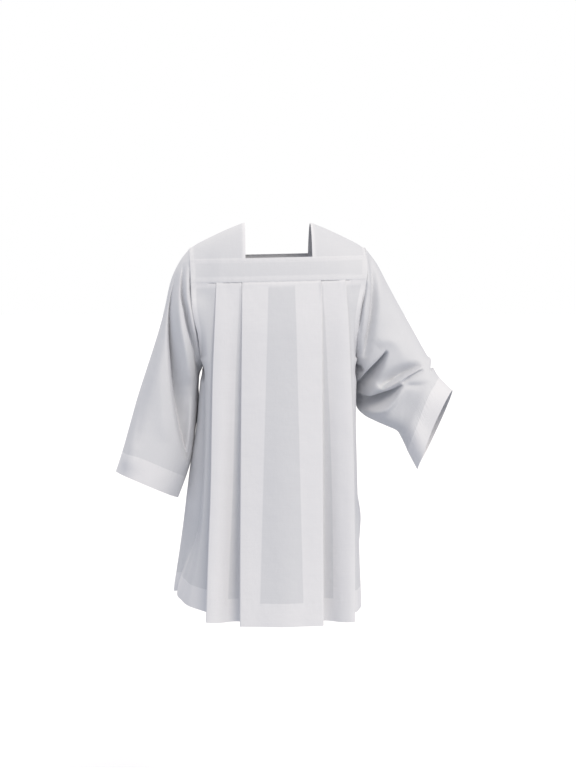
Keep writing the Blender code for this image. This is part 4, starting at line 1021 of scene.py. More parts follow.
def fold_heights(folds, place, angle, girth):
    """How far the folds push the sleeve's cloth outwards at places along it and angles round it."""
    total = np.zeros(np.broadcast_shapes(place.shape, angle.shape))
    for fold in folds:
        path = fold_path(fold)
        nearest = np.full(total.shape, np.inf)
        share, beside = np.zeros_like(total), np.zeros_like(total)
        for k, (a, b) in enumerate(zip(path, path[1:])):
            ax, ay = (place - a[0]) * SECTION_LENGTH, ((angle - a[1] + 180) % 360 - 180) / 360 * girth
            bx, by = (b[0] - a[0]) * SECTION_LENGTH, (b[1] - a[1]) / 360 * girth
            t = np.clip((ax * bx + ay * by) / (bx * bx + by * by), 0.0, 1.0)
            away = np.hypot(ax - t * bx, ay - t * by)
            closer = away < nearest
            nearest = np.where(closer, away, nearest)
            share = np.where(closer, (k + t) / FOLD_PATH_STEPS, share)
            beside = np.where(closer, np.sign(bx * ay - by * ax), beside)
        rise = np.where(share < fold.peak, share / fold.peak, (1 - share) / (1 - fold.peak))
        width = mix(fold.width_from, fold.width_to, share) * (1 + fold.lean * beside)
        total += fold.height * smoothstep(rise, 0.0, 1.0) * np.exp(-((nearest / width) ** fold.crisp))
    return total


def crease_path(bends):
    """Rows between a crease's bends, on a smooth curve through them."""
    bends = np.array(bends)
    last = len(bends) - 1
    at = np.linspace(0.0, last, CREASE_STEPS * last + 1)
    k = np.clip(at.astype(int), 0, last - 1)
    a, b = bends[k], bends[k + 1]
    before, after = bends[np.maximum(k - 1, 0)], bends[np.minimum(k + 2, last)]
    return hermite((at - k)[:, None], a, (b - before) / 2, b, (after - a) / 2)


def crease_shifts(creases, face, x, z):
    """How far the creases move one face of a sleeve across, out and up, at places across and up."""
    total = np.zeros(x.shape + (3,))
    for crease in creases:
        path = crease_path(crease.bends)
        nearest = np.full(x.shape, np.inf)
        height, width = np.zeros_like(x), np.ones_like(x)
        for a, b in zip(path, path[1:]):
            step_x, step_z = b[0] - a[0], b[1] - a[1]
            t = ((x - a[0]) * step_x + (z - a[1]) * step_z) / (step_x**2 + step_z**2)
            t = np.clip(t, 0.0, 1.0)
            off_x, off_z = x - a[0] - t * step_x, z - a[1] - t * step_z
            away = np.hypot(off_x, off_z)
            closer = away < nearest
            nearest = np.where(closer, away, nearest)
            height = np.where(closer, mix(a[2], b[2], t), height)
            # half way round, so that the two widths meet without a step
            across = (step_x * off_z - step_z * off_x) / (away * math.hypot(step_x, step_z) + 1e-9)
            turned = 0.5 + 0.5 * np.clip(across, -1, 1)
            width = np.where(closer, mix(mix(a[3], b[3], t), mix(a[4], b[4], t), turned), width)
        rise = height * np.exp(-((nearest / width) ** crease.crispness))
        total += rise[..., None] * np.array((crease.lean_x, face, crease.lean_z))
    return total


def sleeve_surface(side):
    """A sleeve's points, at even places along its sections, with its folds and creases."""
    sections, folds = SLEEVES[side]
    armhole, normals = armhole_line(side)
    last = len(sections) - 1
    place = np.linspace(0.0, last, COLUMN_SAMPLES + 1)[:, None]
    row = Section(*curve_at(np.array(sections), np.arange(last + 1), place[:, 0]).T)
    top = np.stack((row.top_x, row.mid_y, row.top_z), -1)
    under = np.stack((row.under_x, row.mid_y, row.under_z), -1)
    up = (top - under) / 2
    ahead = np.stack((side * row.front_shift, -row.half_depth, row.front_lift), -1)
    girth = 2 * math.pi * np.sqrt(((up**2).sum(-1) + (ahead**2).sum(-1)) / 2)[:, None]
    forward = (SHOULDER_Y - armhole[:, 1]) / ARMHOLE_HALF_DEPTH
    upward = (armhole[:, 2] - ARMHOLE_MID_Z) / ARMHOLE_HALF_HEIGHT
    angle = (np.degrees(np.arctan2(forward, upward)) % 360)[None, :]
    cos, sin = np.cos(np.radians(angle))[..., None], np.sin(np.radians(angle))[..., None]
    out = unit(up)[:, None] * cos + unit(ahead)[:, None] * sin
    power = mix(1.0, HANGS_FLAT, smoothstep(place, *HANGS_FLAT_PLACES))[..., None]
    sin = np.where((cos < 0) & (sin > 0), np.abs(sin) ** power, sin)
    points = (top + under)[:, None] / 2 + up[:, None] * cos + ahead[:, None] * sin
    start = armhole - normals * SLEEVE_SINK
    points += (start[None] - points[:1]) * (1 - smoothstep(place, 0.0, ARMHOLE_FADES))[..., None]
    points += out * fold_heights(folds, place, angle, girth)[..., None]
    for face, creases in SLEEVE_CREASES[side]:
        # 1 in the middle of this face, 0 along the sleeve's top and under side
        faces = -face * np.sin(np.radians(angle))
        share = smoothstep(faces, 0.0, CREASES_FULL_ROUND) * smoothstep(place, 0.0, CREASES_FULL_ALONG)
        shifts = share[..., None] * crease_shifts(creases, face, points[..., 0], points[..., 2])
        # a trough stops before it meets the cloth behind it
        room = TROUGH_ROOM[face] * row.half_depth[:, None] * (faces - face * sin[..., 0]).clip(0.01)
        sunk = np.maximum(-face * shifts[..., 1], 1e-9)
        stopped = np.where(-face * shifts[..., 1] > 0, np.tanh(sunk / room) * room / sunk, 1.0)
        points += shifts * stopped[..., None]
    return points


@lru_cache(None)
def sleeve_form(side):
    """A sleeve's grid from the armhole to the cuff; its first row is tucked in behind the body's edge."""
    points = sleeve_surface(side)
    shares = np.linspace(0.0, 1.0, SLEEVE_ROWS - HEM_ROWS)
    columns = []
    for line in points.transpose(1, 0, 2):
        run = runs(line, 0)
        to_hem = run[-1] - HEM_DEPTH
        stops = np.concatenate((shares * (to_hem - HEM_EDGE), np.linspace(to_hem, run[-1], HEM_ROWS)))
        columns.append(points_at(line, run, stops))
    grid = np.stack(columns, 1)
    tuck = grid[0] - unit(grid[1] - grid[0]) * SLEEVE_TUCK
    grid = np.concatenate((tuck[None], grid))
    hem_row = len(shares) + 1
    layers = np.zeros(grid.shape[:2])
    layers[hem_row:] = 1.0
    along = runs(grid, 0)
    round_it = np.arange(grid.shape[1])[None, :] * SLEEVE_COLUMN_STEP
    proud = pucker(round_it, along - along[hem_row], HEM_REACH)
    proud += pucker(round_it + ARMHOLE_GATHERS_FROM, along, ARMHOLE_REACH)
    return Form(grid, True, side, layers, layers, proud, hem_row)


# ---------------------------------------------------------------- cloth meshes
SHARP_FROM = math.radians(55)


def grid_normals(points, closed, facing):
    """The outward way at every point of a sheet of cloth."""
    down = np.gradient(points, axis=0)
    if closed:
        across = np.roll(points, -1, axis=1) - np.roll(points, 1, axis=1)
    else:
        across = np.gradient(points, axis=1)
    return unit(facing * np.cross(across, down))


def new_object(name, data):
    thing = bpy.data.objects.new(name, data)
    bpy.context.scene.collection.objects.link(thing)
    return thing


def shell_faces(height, width, closed):
    """The quads of a closed shell: its outer points, as many inner ones after them, and the rims between."""
    count = height * width
    around = np.arange(width if closed else width - 1)
    i, k = (index.ravel() for index in np.meshgrid(np.arange(height - 1), around, indexing="ij"))
    k2 = (k + 1) % width
    outer = np.stack((i * width + k, i * width + k2, (i + 1) * width + k2, (i + 1) * width + k), -1)
    faces = [outer, outer[:, ::-1] + count]
    rims = [(row + (around + 1) % width, row + around, turn) for row, turn in ((0, 1), (count - width, -1))]
    if not closed:
        down = np.arange(height - 1) * width
        rims += [(down + column, down + column + width, turn) for column, turn in ((0, 1), (width - 1, -1))]
    for a, b, turn in rims:
        faces.append(np.stack((a, b, b + count, a + count), -1)[:, ::turn])
    return np.concatenate(faces)


def cloth_lengths(points, closed, corners):
    """A UV map of the lengths across and down the cloth, so that the weave keeps its true size."""
    height, width = points.shape[:2]
    across, down = runs(points, 1), runs(points, 0)
    if not closed:
        across = across - across[:, width // 2, None]
    at = (corners % (height * width)).reshape(-1, 4)
    uv = np.stack((across.ravel()[at], -down.ravel()[at]), -1)
    if closed:
        # the last faces close on the first column, where the length across is the whole girth
        row, column = at // width, at % width
        closes = ((column.max(1) == width - 1) & (column.min(1) == 0))[:, None] & (column == 0)
        girth = across[:, -1] + np.linalg.norm(points[:, 0] - points[:, -1], axis=-1)
        uv[..., 0] = np.where(closes, girth[row], uv[..., 0])
    return uv


def cloth_object(name, form):
    """A thin closed shell of cloth on a form, with its layers as an attribute and its lengths as a UV map."""
    thickness = bpy.context.scene.surplice_cloth.thickness
    normals = grid_normals(form.points, form.closed, form.facing)
    outer = form.points + normals * (thickness / 2 + form.proud)[..., None]
    inner = form.points + normals * (form.proud - thickness / 2 - form.inward * thickness)[..., None]
    vertices = np.concatenate((outer.reshape(-1, 3), inner.reshape(-1, 3)))
    faces = shell_faces(*form.layers.shape, form.closed)[:, :: form.facing]
    data = bpy.data.meshes.new(name)
    data.vertices.add(len(vertices))
    data.vertices.foreach_set("co", vertices.astype(np.float32).ravel())
    data.loops.add(faces.size)
    data.loops.foreach_set("vertex_index", faces.astype(np.int32).ravel())
    data.polygons.add(len(faces))
    data.polygons.foreach_set("loop_start", np.arange(0, faces.size, 4, dtype=np.int32))
    data.update(calc_edges=True)
    data.validate()
    layered = data.attributes.new("layers", "FLOAT", "POINT")
    layered.data.foreach_set("value", np.tile(form.layers.ravel(), 2).astype(np.float32))
    corners = np.empty(len(data.loops), np.int32)
    data.loops.foreach_get("vertex_index", corners)
    lengths = cloth_lengths(form.points, form.closed, corners)
    data.uv_layers.new(name="cloth").data.foreach_set("uv", lengths.astype(np.float32).ravel())
    data.shade_smooth()
    data.set_sharp_from_angle(angle=SHARP_FROM)
    data.materials.append(cloth_material())
    return new_object(name, data)


def dress(node, form):
    """Makes a cloth piece in a solid's place, ties it to the frame and hides the solid; the flat size of its
    sheet is worked out but not used.
    """
    piece = cloth_object(node + "_cloth", form)
    points = form.points
    closing = np.concatenate((points, points[:, :1]), 1) if form.closed else points
    flat = (runs(closing, 1)[:, -1].max(), runs(points, 0)[-1].max())
    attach(piece, "root")
    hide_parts(node)


# ---------------------------------------------------------------- materials
WHITE = (1.0, 1.0, 1.0, 1.0)
FLOOR_GLOW = 0.16
SLUB_HEIGHT = 0.00012
WEAVE_HEIGHT = 0.00010
TWIST_HEIGHT = 0.00008
FLOOR_GRAIN = 0.001


def add_node(tree, kind, inputs=None, **settings):
    """Adds a node with its settings; inputs gives a socket's value or the output that feeds it."""
    made = tree.nodes.new(kind)
    for name, value in settings.items():
        setattr(made, name, value)
    for socket, value in (inputs or {}).items():
        if isinstance(value, bpy.types.NodeSocket):
            tree.links.new(value, made.inputs[socket])
        else:
            made.inputs[socket].default_value = value
    return made


def calculate(tree, operation, *values):
    return add_node(tree, "ShaderNodeMath", dict(enumerate(values)), operation=operation).outputs[0]


def add_noise(tree, place, scale, detail, **inputs):
    inputs.update(Vector=place, Scale=scale, Detail=detail)
    return add_node(tree, "ShaderNodeTexNoise", inputs).outputs["Fac"]


def add_bump(tree, height, strength, distance, **inputs):
    inputs.update(Height=height, Strength=strength, Distance=distance)
    return add_node(tree, "ShaderNodeBump", inputs).outputs[0]


def empty_material(name):
    material = bpy.data.materials.new(name)
    material.use_nodes = True
    material.node_tree.nodes.clear()
    return material, material.node_tree


def finish_surface(tree, inputs):
    shader = add_node(tree, "ShaderNodeBsdfPrincipled", inputs)
    add_node(tree, "ShaderNodeOutputMaterial", {"Surface": shader.outputs[0]})


def cloth_material():
    """Cotton poplin, bleached and pressed: a matt white that is faintly grey where it is a single layer."""
    name = "bleached_cotton_poplin"
    if name in bpy.data.materials:
        return bpy.data.materials[name]
    cloth = bpy.context.scene.surplice_cloth
    material, tree = empty_material(name)
    uv = add_node(tree, "ShaderNodeUVMap", uv_map="cloth").outputs["UV"]
    layered = add_node(tree, "ShaderNodeAttribute", attribute_name="layers", attribute_type="GEOMETRY")

    # each thread passes over one and under the next, so the height is the product of two waves
    lengths = add_node(tree, "ShaderNodeSeparateXYZ", {0: uv}).outputs
    turns = math.pi / cloth.thread_spacing
    waves = [calculate(tree, "SINE", calculate(tree, "MULTIPLY", lengths[axis], turns)) for axis in "XY"]
    weave = calculate(tree, "MULTIPLY", *waves)

    # thicker threads run a few centimetres and then thin out again: stretched noise each way
    slubs = []
    for scale in ((900.0, 26.0, 1.0), (22.0, 760.0, 1.0)):
        stretched = add_node(tree, "ShaderNodeMapping", {"Vector": uv, "Scale": scale}).outputs[0]
        slubs.append(add_noise(tree, stretched, 1.0, 2.0))
    slub = calculate(tree, "ADD", *slubs)

    place = add_node(tree, "ShaderNodeTexCoord").outputs["Object"]
    rumple = add_noise(tree, place, 24.0, 3.0, Roughness=0.45)
    pressed = add_bump(tree, rumple, 1.0, cloth.rumple_height)
    uneven = add_bump(tree, slub, 0.35, SLUB_HEIGHT, Normal=pressed)
    woven = add_bump(tree, weave, 0.30, WEAVE_HEIGHT, Normal=uneven)

    single, double = (*cloth.single_colour, 1.0), (*cloth.double_colour, 1.0)
    shades = {0: layered.outputs["Fac"], 6: single, 7: double}
    colour = add_node(tree, "ShaderNodeMix", shades, data_type="RGBA").outputs[2]
    faded = add_node(tree, "ShaderNodeMapRange", {0: slub, 1: 0.7, 2: 1.3, 3: 0.975, 4: 1.0}).outputs[0]
    colour = add_node(tree, "ShaderNodeVectorMath", {0: colour, "Scale": faded}, operation="SCALE").outputs[0]
    finish_surface(
        tree,
        {
            "Base Color": colour,
            "Roughness": 0.82,
            "IOR": 1.46,
            "Specular IOR Level": 0.25,
            "Sheen Weight": 0.18,
            "Sheen Roughness": 0.45,
            "Normal": woven,
        },
    )
    return material


def thread_material():
    """Spun polyester sewing thread: whiter and a little glossier than the cloth, with a two-ply twist."""
    material, tree = empty_material("spun_polyester_thread")
    place = add_node(tree, "ShaderNodeTexCoord").outputs["Object"]
    plies = {"Vector": place, "Scale": 900.0, "Distortion": 1.0}
    twist = add_node(tree, "ShaderNodeTexWave", plies, bands_direction="DIAGONAL").outputs["Fac"]
    bump = add_bump(tree, twist, 0.4, TWIST_HEIGHT)
    colour = (*linear("#F3F4F6"), 1.0)
    finish_surface(tree, {"Base Color": colour, "Roughness": 0.48, "Sheen Weight": 0.1, "Normal": bump})
    return material


def floor_material():
    """Matt emulsion paint on a smooth floor: an even white with no gloss, lifted by the light round it."""
    material, tree = empty_material("matt_floor_paint")
    place = add_node(tree, "ShaderNodeTexCoord").outputs["Object"]
    bump = add_bump(tree, add_noise(tree, place, 3.0, 2.0), 0.1, FLOOR_GRAIN)
    finish_surface(
        tree,
        {
            "Base Color": (*linear("#FFFFFF"), 1.0),
            "Roughness": 0.95,
            "Specular IOR Level": 0.1,
            "Emission Color": WHITE,
            "Emission Strength": FLOOR_GLOW,
            "Normal": bump,
        },
    )
    return material


# ---------------------------------------------------------------- stitches
EDGE_SETBACK = 0.0016  # the first line of stitches from a band's turned edge
HEM_LINE_SHARE = 0.4  # how far the hem's stitches lie on the way from the hem's first row to its second
STRAP_LAPPED_ROWS = 4  # a shoulder piece's rows that each band covers
SEAM_END_X = 0.2
HEM_SEED = 3
SEAM_SEED = 5
STITCH_INPUTS = {
    "Geometry": "Geometry",
    "Stitch Pitch": "Float",
    "Stitch Length": "Float",
    "Thread Diameter": "Float",
    "Unevenness": "Float",
    "Seed": "Int",
    "Material": "Material",
}


def outer_points(form):
    """A form's points, lifted so that thread laid on them stands clear of its outer face."""
    scene = bpy.context.scene
    lift = scene.surplice_cloth.thickness / 2 + form.proud
    lift += scene.surplice_sewing.thread_diameter * THREAD_SEAT
    return form.points + grid_normals(form.points, form.closed, form.facing) * lift[..., None]


def hem_line(form):
    """A line just below the top of a form's turned hem."""
    surface = outer_points(form)
    line = mix(surface[form.hem_row], surface[form.hem_row + 1], HEM_LINE_SHARE)
    return np.concatenate((line, line[:1])) if form.closed else line


def inset_line(surface, distance, from_start):
    """A line down a sheet at a distance in from one of its side edges."""
    line = []
    for row in surface if from_start else surface[:, ::-1]:
        line.append(points_at(row, runs(row, 0), distance))
    return np.array(line)


def seam_lines():
    """The topstitching round the bands, down the armholes and along the shoulder pieces."""
    setback = bpy.context.scene.surplice_sewing.setback
    lines = []
    for face in (FRONT, BACK):
        band, panel = outer_points(band_form(face)), outer_points(panel_form(face))
        turned = band.transpose(1, 0, 2)
        for from_top in (True, False):
            lines += [inset_line(turned, distance, from_top) for distance in (EDGE_SETBACK, setback)]
        lines += [inset_line(band, setback, from_start) for from_start in (True, False)]
        for from_start in (True, False):
            edge_z = panel[:, 0 if from_start else -1, 2]
            sewn = (edge_z > armhole_end_z(face)) & (edge_z < yoke_seam_z(SEAM_END_X))
            lines.append(inset_line(panel[sewn], setback, from_start))
    for side in (RIGHT, LEFT):
        strap = outer_points(strap_form(side))[STRAP_LAPPED_ROWS:-STRAP_LAPPED_ROWS]
        lines += [inset_line(strap, setback, False), inset_line(strap, NECK_TURN - ALLOWANCE_EDGE, True)]
    return lines


def stitch_tree():
    """Geometry Nodes that lay a stitch at even steps along curves."""
    tree = bpy.data.node_groups.new("stitches_on_curves", "GeometryNodeTree")
    for name, kind in STITCH_INPUTS.items():
        tree.interface.new_socket(name, in_out="INPUT", socket_type="NodeSocket" + kind)
    tree.interface.new_socket("Geometry", in_out="OUTPUT", socket_type="NodeSocketGeometry")
    given = add_node(tree, "NodeGroupInput").outputs
    spaced = {"Curve": given["Geometry"], "Length": given["Stitch Pitch"]}
    points = add_node(tree, "GeometryNodeResampleCurve", spaced, mode="LENGTH").outputs[0]
    bead = {"Segments": 6, "Rings": 4, "Radius": 0.5}
    thread = add_node(tree, "GeometryNodeMeshUVSphere", bead).outputs["Mesh"]
    tangent = add_node(tree, "GeometryNodeInputTangent").outputs[0]
    turned = add_node(tree, "FunctionNodeAlignRotationToVector", {"Vector": tangent}, axis="Z").outputs[0]
    low = calculate(tree, "SUBTRACT", 1.0, given["Unevenness"])
    high = calculate(tree, "ADD", 1.0, given["Unevenness"])
    limits = {2: low, 3: high, "Seed": given["Seed"]}
    drawn = add_node(tree, "FunctionNodeRandomValue", limits, data_type="FLOAT").outputs[1]
    length = calculate(tree, "MULTIPLY", given["Stitch Length"], drawn)
    sides = {"X": given["Thread Diameter"], "Y": given["Thread Diameter"], "Z": length}
    size = add_node(tree, "ShaderNodeCombineXYZ", sides).outputs[0]
    stitches = {"Points": points, "Instance": thread, "Rotation": turned, "Scale": size}
    laid = add_node(tree, "GeometryNodeInstanceOnPoints", stitches).outputs[0]
    real = add_node(tree, "GeometryNodeRealizeInstances", {0: laid}).outputs[0]
    smooth = add_node(tree, "GeometryNodeSetShadeSmooth", {"Geometry": real}).outputs[0]
    finished = {"Geometry": smooth, "Material": given["Material"]}
    finish = add_node(tree, "GeometryNodeSetMaterial", finished).outputs[0]
    add_node(tree, "NodeGroupOutput", {"Geometry": finish})
    return tree


def sew(name, lines, tree, seed, material):
    """A plain mesh of stitches along lines of points."""
    sewing = bpy.context.scene.surplice_sewing
    curve = bpy.data.curves.new(name + "_line", "CURVE")
    curve.dimensions = "3D"
    for line in lines:
        spline = curve.splines.new("POLY")
        spline.points.add(len(line) - 1)
        spline.points.foreach_set("co", np.concatenate((line, np.ones((len(line), 1))), 1).ravel())
    guide = new_object(curve.name, curve)
    modifier = guide.modifiers.new("stitches", "NODES")
    modifier.node_group = tree
    values = {
        "Stitch Pitch": sewing.stitch_pitch,
        "Stitch Length": sewing.stitch_length,
        "Thread Diameter": sewing.thread_diameter,
        "Unevenness": sewing.unevenness,
        "Seed": seed,
        "Material": material,
    }
    for socket in tree.interface.items_tree:
        if socket.name in values:
            modifier[socket.identifier] = values[socket.name]
    bpy.context.view_layer.update()
    data = bpy.data.meshes.new_from_object(guide.evaluated_get(bpy.context.evaluated_depsgraph_get()))
    data.name = name
    bpy.data.objects.remove(guide)
    piece = new_object(name, data)
    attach(piece, "root")
    print(f"{name}: {len(data.polygons)} faces")


# ---------------------------------------------------------------- settings
LENGTH = {"precision": 5, "unit": "LENGTH", "subtype": "DISTANCE"}
ANGLE = {"subtype": "ANGLE"}
COLOUR = {"min": 0.0, "max": 1.0, "subtype": "COLOR"}


class ClothSettings(bpy.types.PropertyGroup):
    thickness: bpy.props.FloatProperty(
        name="Cloth Thickness",
        description="Thickness of one layer of the pressed cloth",
        default=0.0005, min=0.0002, max=0.001, **LENGTH,
    )
    thread_spacing: bpy.props.FloatProperty(
        name="Thread Spacing",
        description="Distance between threads; the real 0.35 mm is drawn coarser, so that it shows",
        default=0.0008, min=0.0003, max=0.002, **LENGTH,
    )
    rumple_height: bpy.props.FloatProperty(
        name="Rumple Height",
        description="Height of the slight unevenness that pressing leaves",
        default=0.0016, min=0.0, max=0.005, **LENGTH,
    )
    single_colour: bpy.props.FloatVectorProperty(
        name="Single Layer",
        description="Colour of one layer of the cloth",
        default=linear("#E3E4E7"), **COLOUR,
    )
    double_colour: bpy.props.FloatVectorProperty(
        name="Double Layer",
        description="Colour of the cloth in hems, pleats and seams, where more layers lie behind it",
        default=linear("#F1F1F3"), **COLOUR,
    )


class SewingSettings(bpy.types.PropertyGroup):
    stitch_pitch: bpy.props.FloatProperty(
        name="Stitch Pitch",
        description="Distance from one stitch to the next",
        default=0.0032, min=0.001, max=0.01, **LENGTH,
    )
    stitch_length: bpy.props.FloatProperty(
        name="Stitch Length",
        description="Visible length of one stitch",
        default=0.0026, min=0.0005, max=0.01, **LENGTH,
    )
    thread_diameter: bpy.props.FloatProperty(
        name="Thread Diameter",
        description="Thickness of the sewing thread",
        default=0.00045, min=0.0001, max=0.001, **LENGTH,
    )
    unevenness: bpy.props.FloatProperty(
        name="Unevenness",
        description="How much the stitches differ in length, as a share",
        default=0.12, min=0.0, max=0.5, subtype="FACTOR",
    )
    setback: bpy.props.FloatProperty(
        name="Setback",
        description="Distance of the topstitching from a turned edge",
        default=0.0075, min=0.001, max=0.02, **LENGTH,
    )


class StudioSettings(bpy.types.PropertyGroup):
    floor_drop: bpy.props.FloatProperty(
        name="Floor Drop",
        description="Height of the shoulders above the studio floor",
        default=1.46, min=0.9, max=2.0, **LENGTH,
    )
    camera_distance: bpy.props.FloatProperty(
        name="Camera Distance",
        description="Distance of the camera from the point it looks at",
        default=3.2, min=1.0, max=10.0, **LENGTH,
    )
    camera_turn: bpy.props.FloatProperty(
        name="Camera Turn",
        description="Turn of the camera round the garment from straight in front",
        default=math.radians(-2.5), **ANGLE,
    )
    camera_rise: bpy.props.FloatProperty(
        name="Camera Rise",
        description="Angle at which the camera looks down",
        default=math.radians(5.0), **ANGLE,
    )
    lens: bpy.props.FloatProperty(
        name="Lens",
        description="Focal length of the camera, in millimetres",
        default=71.43, min=20.0, max=200.0,
    )
    key_strength: bpy.props.FloatProperty(
        name="Key Strength",
        description="Strength of the light from the upper right, on a surface square to it",
        default=1.38, min=0.0,
    )
    key_turn: bpy.props.FloatProperty(
        name="Key Turn",
        description="Turn of the key light round the garment from straight in front",
        default=math.radians(25.0), **ANGLE,
    )
    key_rise: bpy.props.FloatProperty(
        name="Key Rise",
        description="Height of the key light above the garment, as an angle",
        default=math.radians(43.0), **ANGLE,
    )
    side_strength: bpy.props.FloatProperty(
        name="Side Strength",
        description="Strength of the weak light from the side of the raised arm, on a surface square to it",
        default=0.35, min=0.0,
    )
    side_turn: bpy.props.FloatProperty(
        name="Side Turn",
        description="Turn of the side light round the garment from straight in front",
        default=math.radians(80.0), **ANGLE,
    )
    side_rise: bpy.props.FloatProperty(
        name="Side Rise",
        description="Height of the side light above the garment, as an angle",
        default=math.radians(45.0), **ANGLE,
    )
    rear_strength: bpy.props.FloatProperty(
        name="Rear Strength",
        description="Strength of the weak light from behind, on a surface square to it",
        default=0.90, min=0.0,
    )
    rear_turn: bpy.props.FloatProperty(
        name="Rear Turn",
        description="Turn of the rear light round the garment from straight in front",
        default=math.radians(215.0), **ANGLE,
    )
    rear_rise: bpy.props.FloatProperty(
        name="Rear Rise",
        description="Height of the rear light above the garment, as an angle",
        default=math.radians(35.0), **ANGLE,
    )
    softness: bpy.props.FloatProperty(
        name="Softness",
        description="Width of each of the three lights as seen from the garment",
        default=math.radians(30.0), min=0.0, max=math.radians(120.0), **ANGLE,
    )
    light_colour: bpy.props.FloatVectorProperty(
        name="Light Colour",
        description="Colour of the three lights",
        default=linear("#FFF6E8"), **COLOUR,
    )
    surround_strength: bpy.props.FloatProperty(
        name="Surround Strength",
        description="Strength of the light that the white walls and ceiling give back",
        default=0.58, min=0.0,
    )
    surround_colour: bpy.props.FloatVectorProperty(
        name="Surround Colour",
        description="Colour of the light that the white walls and ceiling give back",
        default=linear("#F2F5FF"), **COLOUR,
    )


SETTINGS = {
    "surplice_cloth": ClothSettings,
    "surplice_sewing": SewingSettings,
    "surplice_studio": StudioSettings,
}


# ---------------------------------------------------------------- studio
VIEW_CENTRE = Vector((0.02205, 0.0, -0.336))
SENSOR_WIDTH = 36.0
CAMERA_REACH = 100.0
FLOOR_REACH = 30.0
LIGHT_DISTANCE = 4.0


def add_floor(studio):
    data = bpy.data.meshes.new("floor")
    corners = [(x * FLOOR_REACH, y * FLOOR_REACH) for x, y in ((-1, -1), (1, -1), (1, 1), (-1, 1))]
    data.from_pydata([(x, y, -studio.floor_drop) for x, y in corners], [], [(0, 1, 2, 3)])
    data.materials.append(floor_material())
    floor = new_object("floor", data)
    # the surround's own light stands for what the floor gives back, so that undersides stay shaded
    floor.visible_diffuse = False
    floor.visible_shadow = False


def aim(thing, distance, turn, rise):
    """Places a thing at a turn from straight in front of the garment and an angle above it, facing it."""
    towards = Vector((math.sin(turn) * math.cos(rise), -math.cos(turn) * math.cos(rise), math.sin(rise)))
    thing.location = VIEW_CENTRE + towards * distance
    thing.rotation_euler = (VIEW_CENTRE - thing.location).to_track_quat("-Z", "Y").to_euler()


def add_camera(studio):
    data = bpy.data.cameras.new("camera")
    data.lens = studio.lens
    data.sensor_width = SENSOR_WIDTH
    data.clip_end = CAMERA_REACH
    camera = new_object("camera", data)
    aim(camera, studio.camera_distance, studio.camera_turn, studio.camera_rise)
    bpy.context.scene.camera = camera


def add_light(studio, name):
    """A wide soft light, with the strength and the place that the settings with its name give it."""
    strength, turn, rise = (getattr(studio, f"{name}_{part}") for part in ("strength", "turn", "rise"))
    data = bpy.data.lights.new(name, "SUN")
    data.energy = strength
    data.color = studio.light_colour
    data.angle = studio.softness
    aim(new_object(name, data), LIGHT_DISTANCE, turn, rise)


def add_surround(studio):
    """White walls and ceiling: their light on the garment, and an even white where the camera sees them."""
    world = bpy.data.worlds.new("white_surround")
    world.use_nodes = True
    tree = world.node_tree
    tree.nodes.clear()
    lighting = {"Color": (*studio.surround_colour, 1.0), "Strength": studio.surround_strength}
    walls = add_node(tree, "ShaderNodeBackground", lighting).outputs[0]
    backdrop = add_node(tree, "ShaderNodeBackground", {"Color": WHITE, "Strength": 1.0}).outputs[0]
    seen = add_node(tree, "ShaderNodeLightPath").outputs["Is Camera Ray"]
    both = add_node(tree, "ShaderNodeMixShader", {0: seen, 1: walls, 2: backdrop})
    add_node(tree, "ShaderNodeOutputWorld", {"Surface": both.outputs[0]})
    bpy.context.scene.world = world


# ---------------------------------------------------------------- operators
class SURPLICE_OT_panels(bpy.types.Operator):
    """Make the pleated front and back panels"""

    bl_idname = "surplice.panels"
    bl_label = "Pleated Panels"

    def execute(self, context):
        for face, name in ((FRONT, "front"), (BACK, "back")):
            dress(name + "_panel", panel_form(face))
        return {"FINISHED"}


class SURPLICE_OT_yoke(bpy.types.Operator):
    """Make the yoke's bands and shoulder pieces"""

    bl_idname = "surplice.yoke"
    bl_label = "Yoke"

    def execute(self, context):
        for face, name in ((FRONT, "front"), (BACK, "back")):
            dress(name + "_yoke", band_form(face))
        for side, name in ((RIGHT, "right"), (LEFT, "left")):
            dress(name + "_shoulder", strap_form(side))
        return {"FINISHED"}


class SURPLICE_OT_sleeves(bpy.types.Operator):
    """Make the wide sleeves with their creases"""

    bl_idname = "surplice.sleeves"
    bl_label = "Sleeves"

    def execute(self, context):
        for side, name in ((RIGHT, "right"), (LEFT, "left")):
            dress(name + "_sleeve", sleeve_form(side))
        return {"FINISHED"}


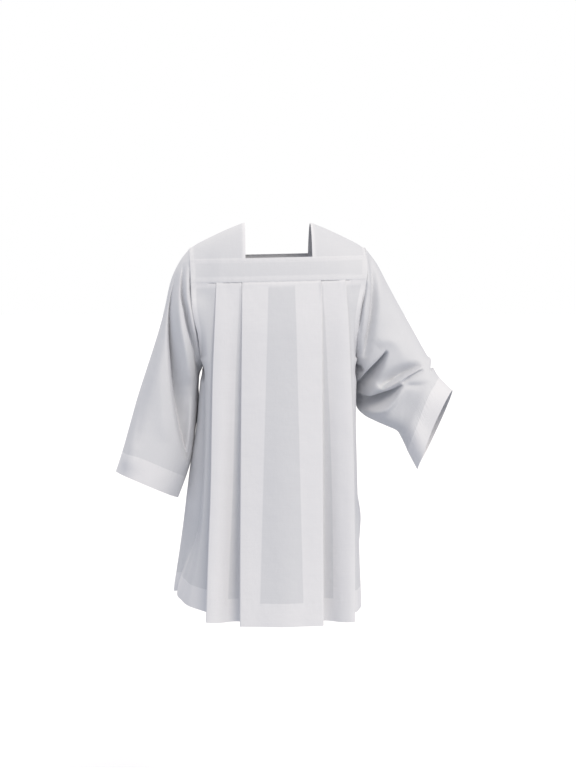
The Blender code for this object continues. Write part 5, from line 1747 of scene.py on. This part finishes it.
class SURPLICE_OT_stitching(bpy.types.Operator):
    """Sew the hems, the yoke, the neck and the armholes"""

    bl_idname = "surplice.stitching"
    bl_label = "Stitching"

    def execute(self, context):
        material, tree = thread_material(), stitch_tree()
        forms = [panel_form(face) for face in (FRONT, BACK)] + [sleeve_form(side) for side in (RIGHT, LEFT)]
        sew("hem_stitches", [hem_line(form) for form in forms], tree, HEM_SEED, material)
        sew("seam_stitches", seam_lines(), tree, SEAM_SEED, material)
        return {"FINISHED"}


class SURPLICE_OT_studio(bpy.types.Operator):
    """Set the pale floor, the soft lights and the camera"""

    bl_idname = "surplice.studio"
    bl_label = "Studio"

    def execute(self, context):
        studio = context.scene.surplice_studio
        context.scene.view_settings.view_transform = "Standard"
        add_floor(studio)
        add_camera(studio)
        for name in ("key", "side", "rear"):
            add_light(studio, name)
        add_surround(studio)
        return {"FINISHED"}


OPERATORS = (
    SURPLICE_OT_panels,
    SURPLICE_OT_yoke,
    SURPLICE_OT_sleeves,
    SURPLICE_OT_stitching,
    SURPLICE_OT_studio,
)


class SURPLICE_PT_sidebar(bpy.types.Panel):
    """The surplice's makers and their settings"""

    bl_label = "Surplice"
    bl_idname = "SURPLICE_PT_sidebar"
    bl_space_type = "VIEW_3D"
    bl_region_type = "UI"
    bl_category = "Surplice"

    def draw(self, context):
        column = self.layout.column()
        for operator in OPERATORS:
            column.operator(operator.bl_idname)
        for name in SETTINGS:
            group = getattr(context.scene, name)
            box = self.layout.box()
            for setting in group.__annotations__:
                box.prop(group, setting)


def register():
    for name, group in SETTINGS.items():
        bpy.utils.register_class(group)
        setattr(bpy.types.Scene, name, bpy.props.PointerProperty(type=group))
    for operator in OPERATORS:
        bpy.utils.register_class(operator)
    bpy.utils.register_class(SURPLICE_PT_sidebar)


def unregister():
    bpy.utils.unregister_class(SURPLICE_PT_sidebar)
    for operator in reversed(OPERATORS):
        bpy.utils.unregister_class(operator)
    for name, group in SETTINGS.items():
        delattr(bpy.types.Scene, name)
        bpy.utils.unregister_class(group)


def main():
    register()
    bpy.ops.surplice.panels()
    bpy.ops.surplice.yoke()
    bpy.ops.surplice.sleeves()
    bpy.ops.surplice.stitching()
    bpy.ops.surplice.studio()


if __name__ == "__main__":
    main()
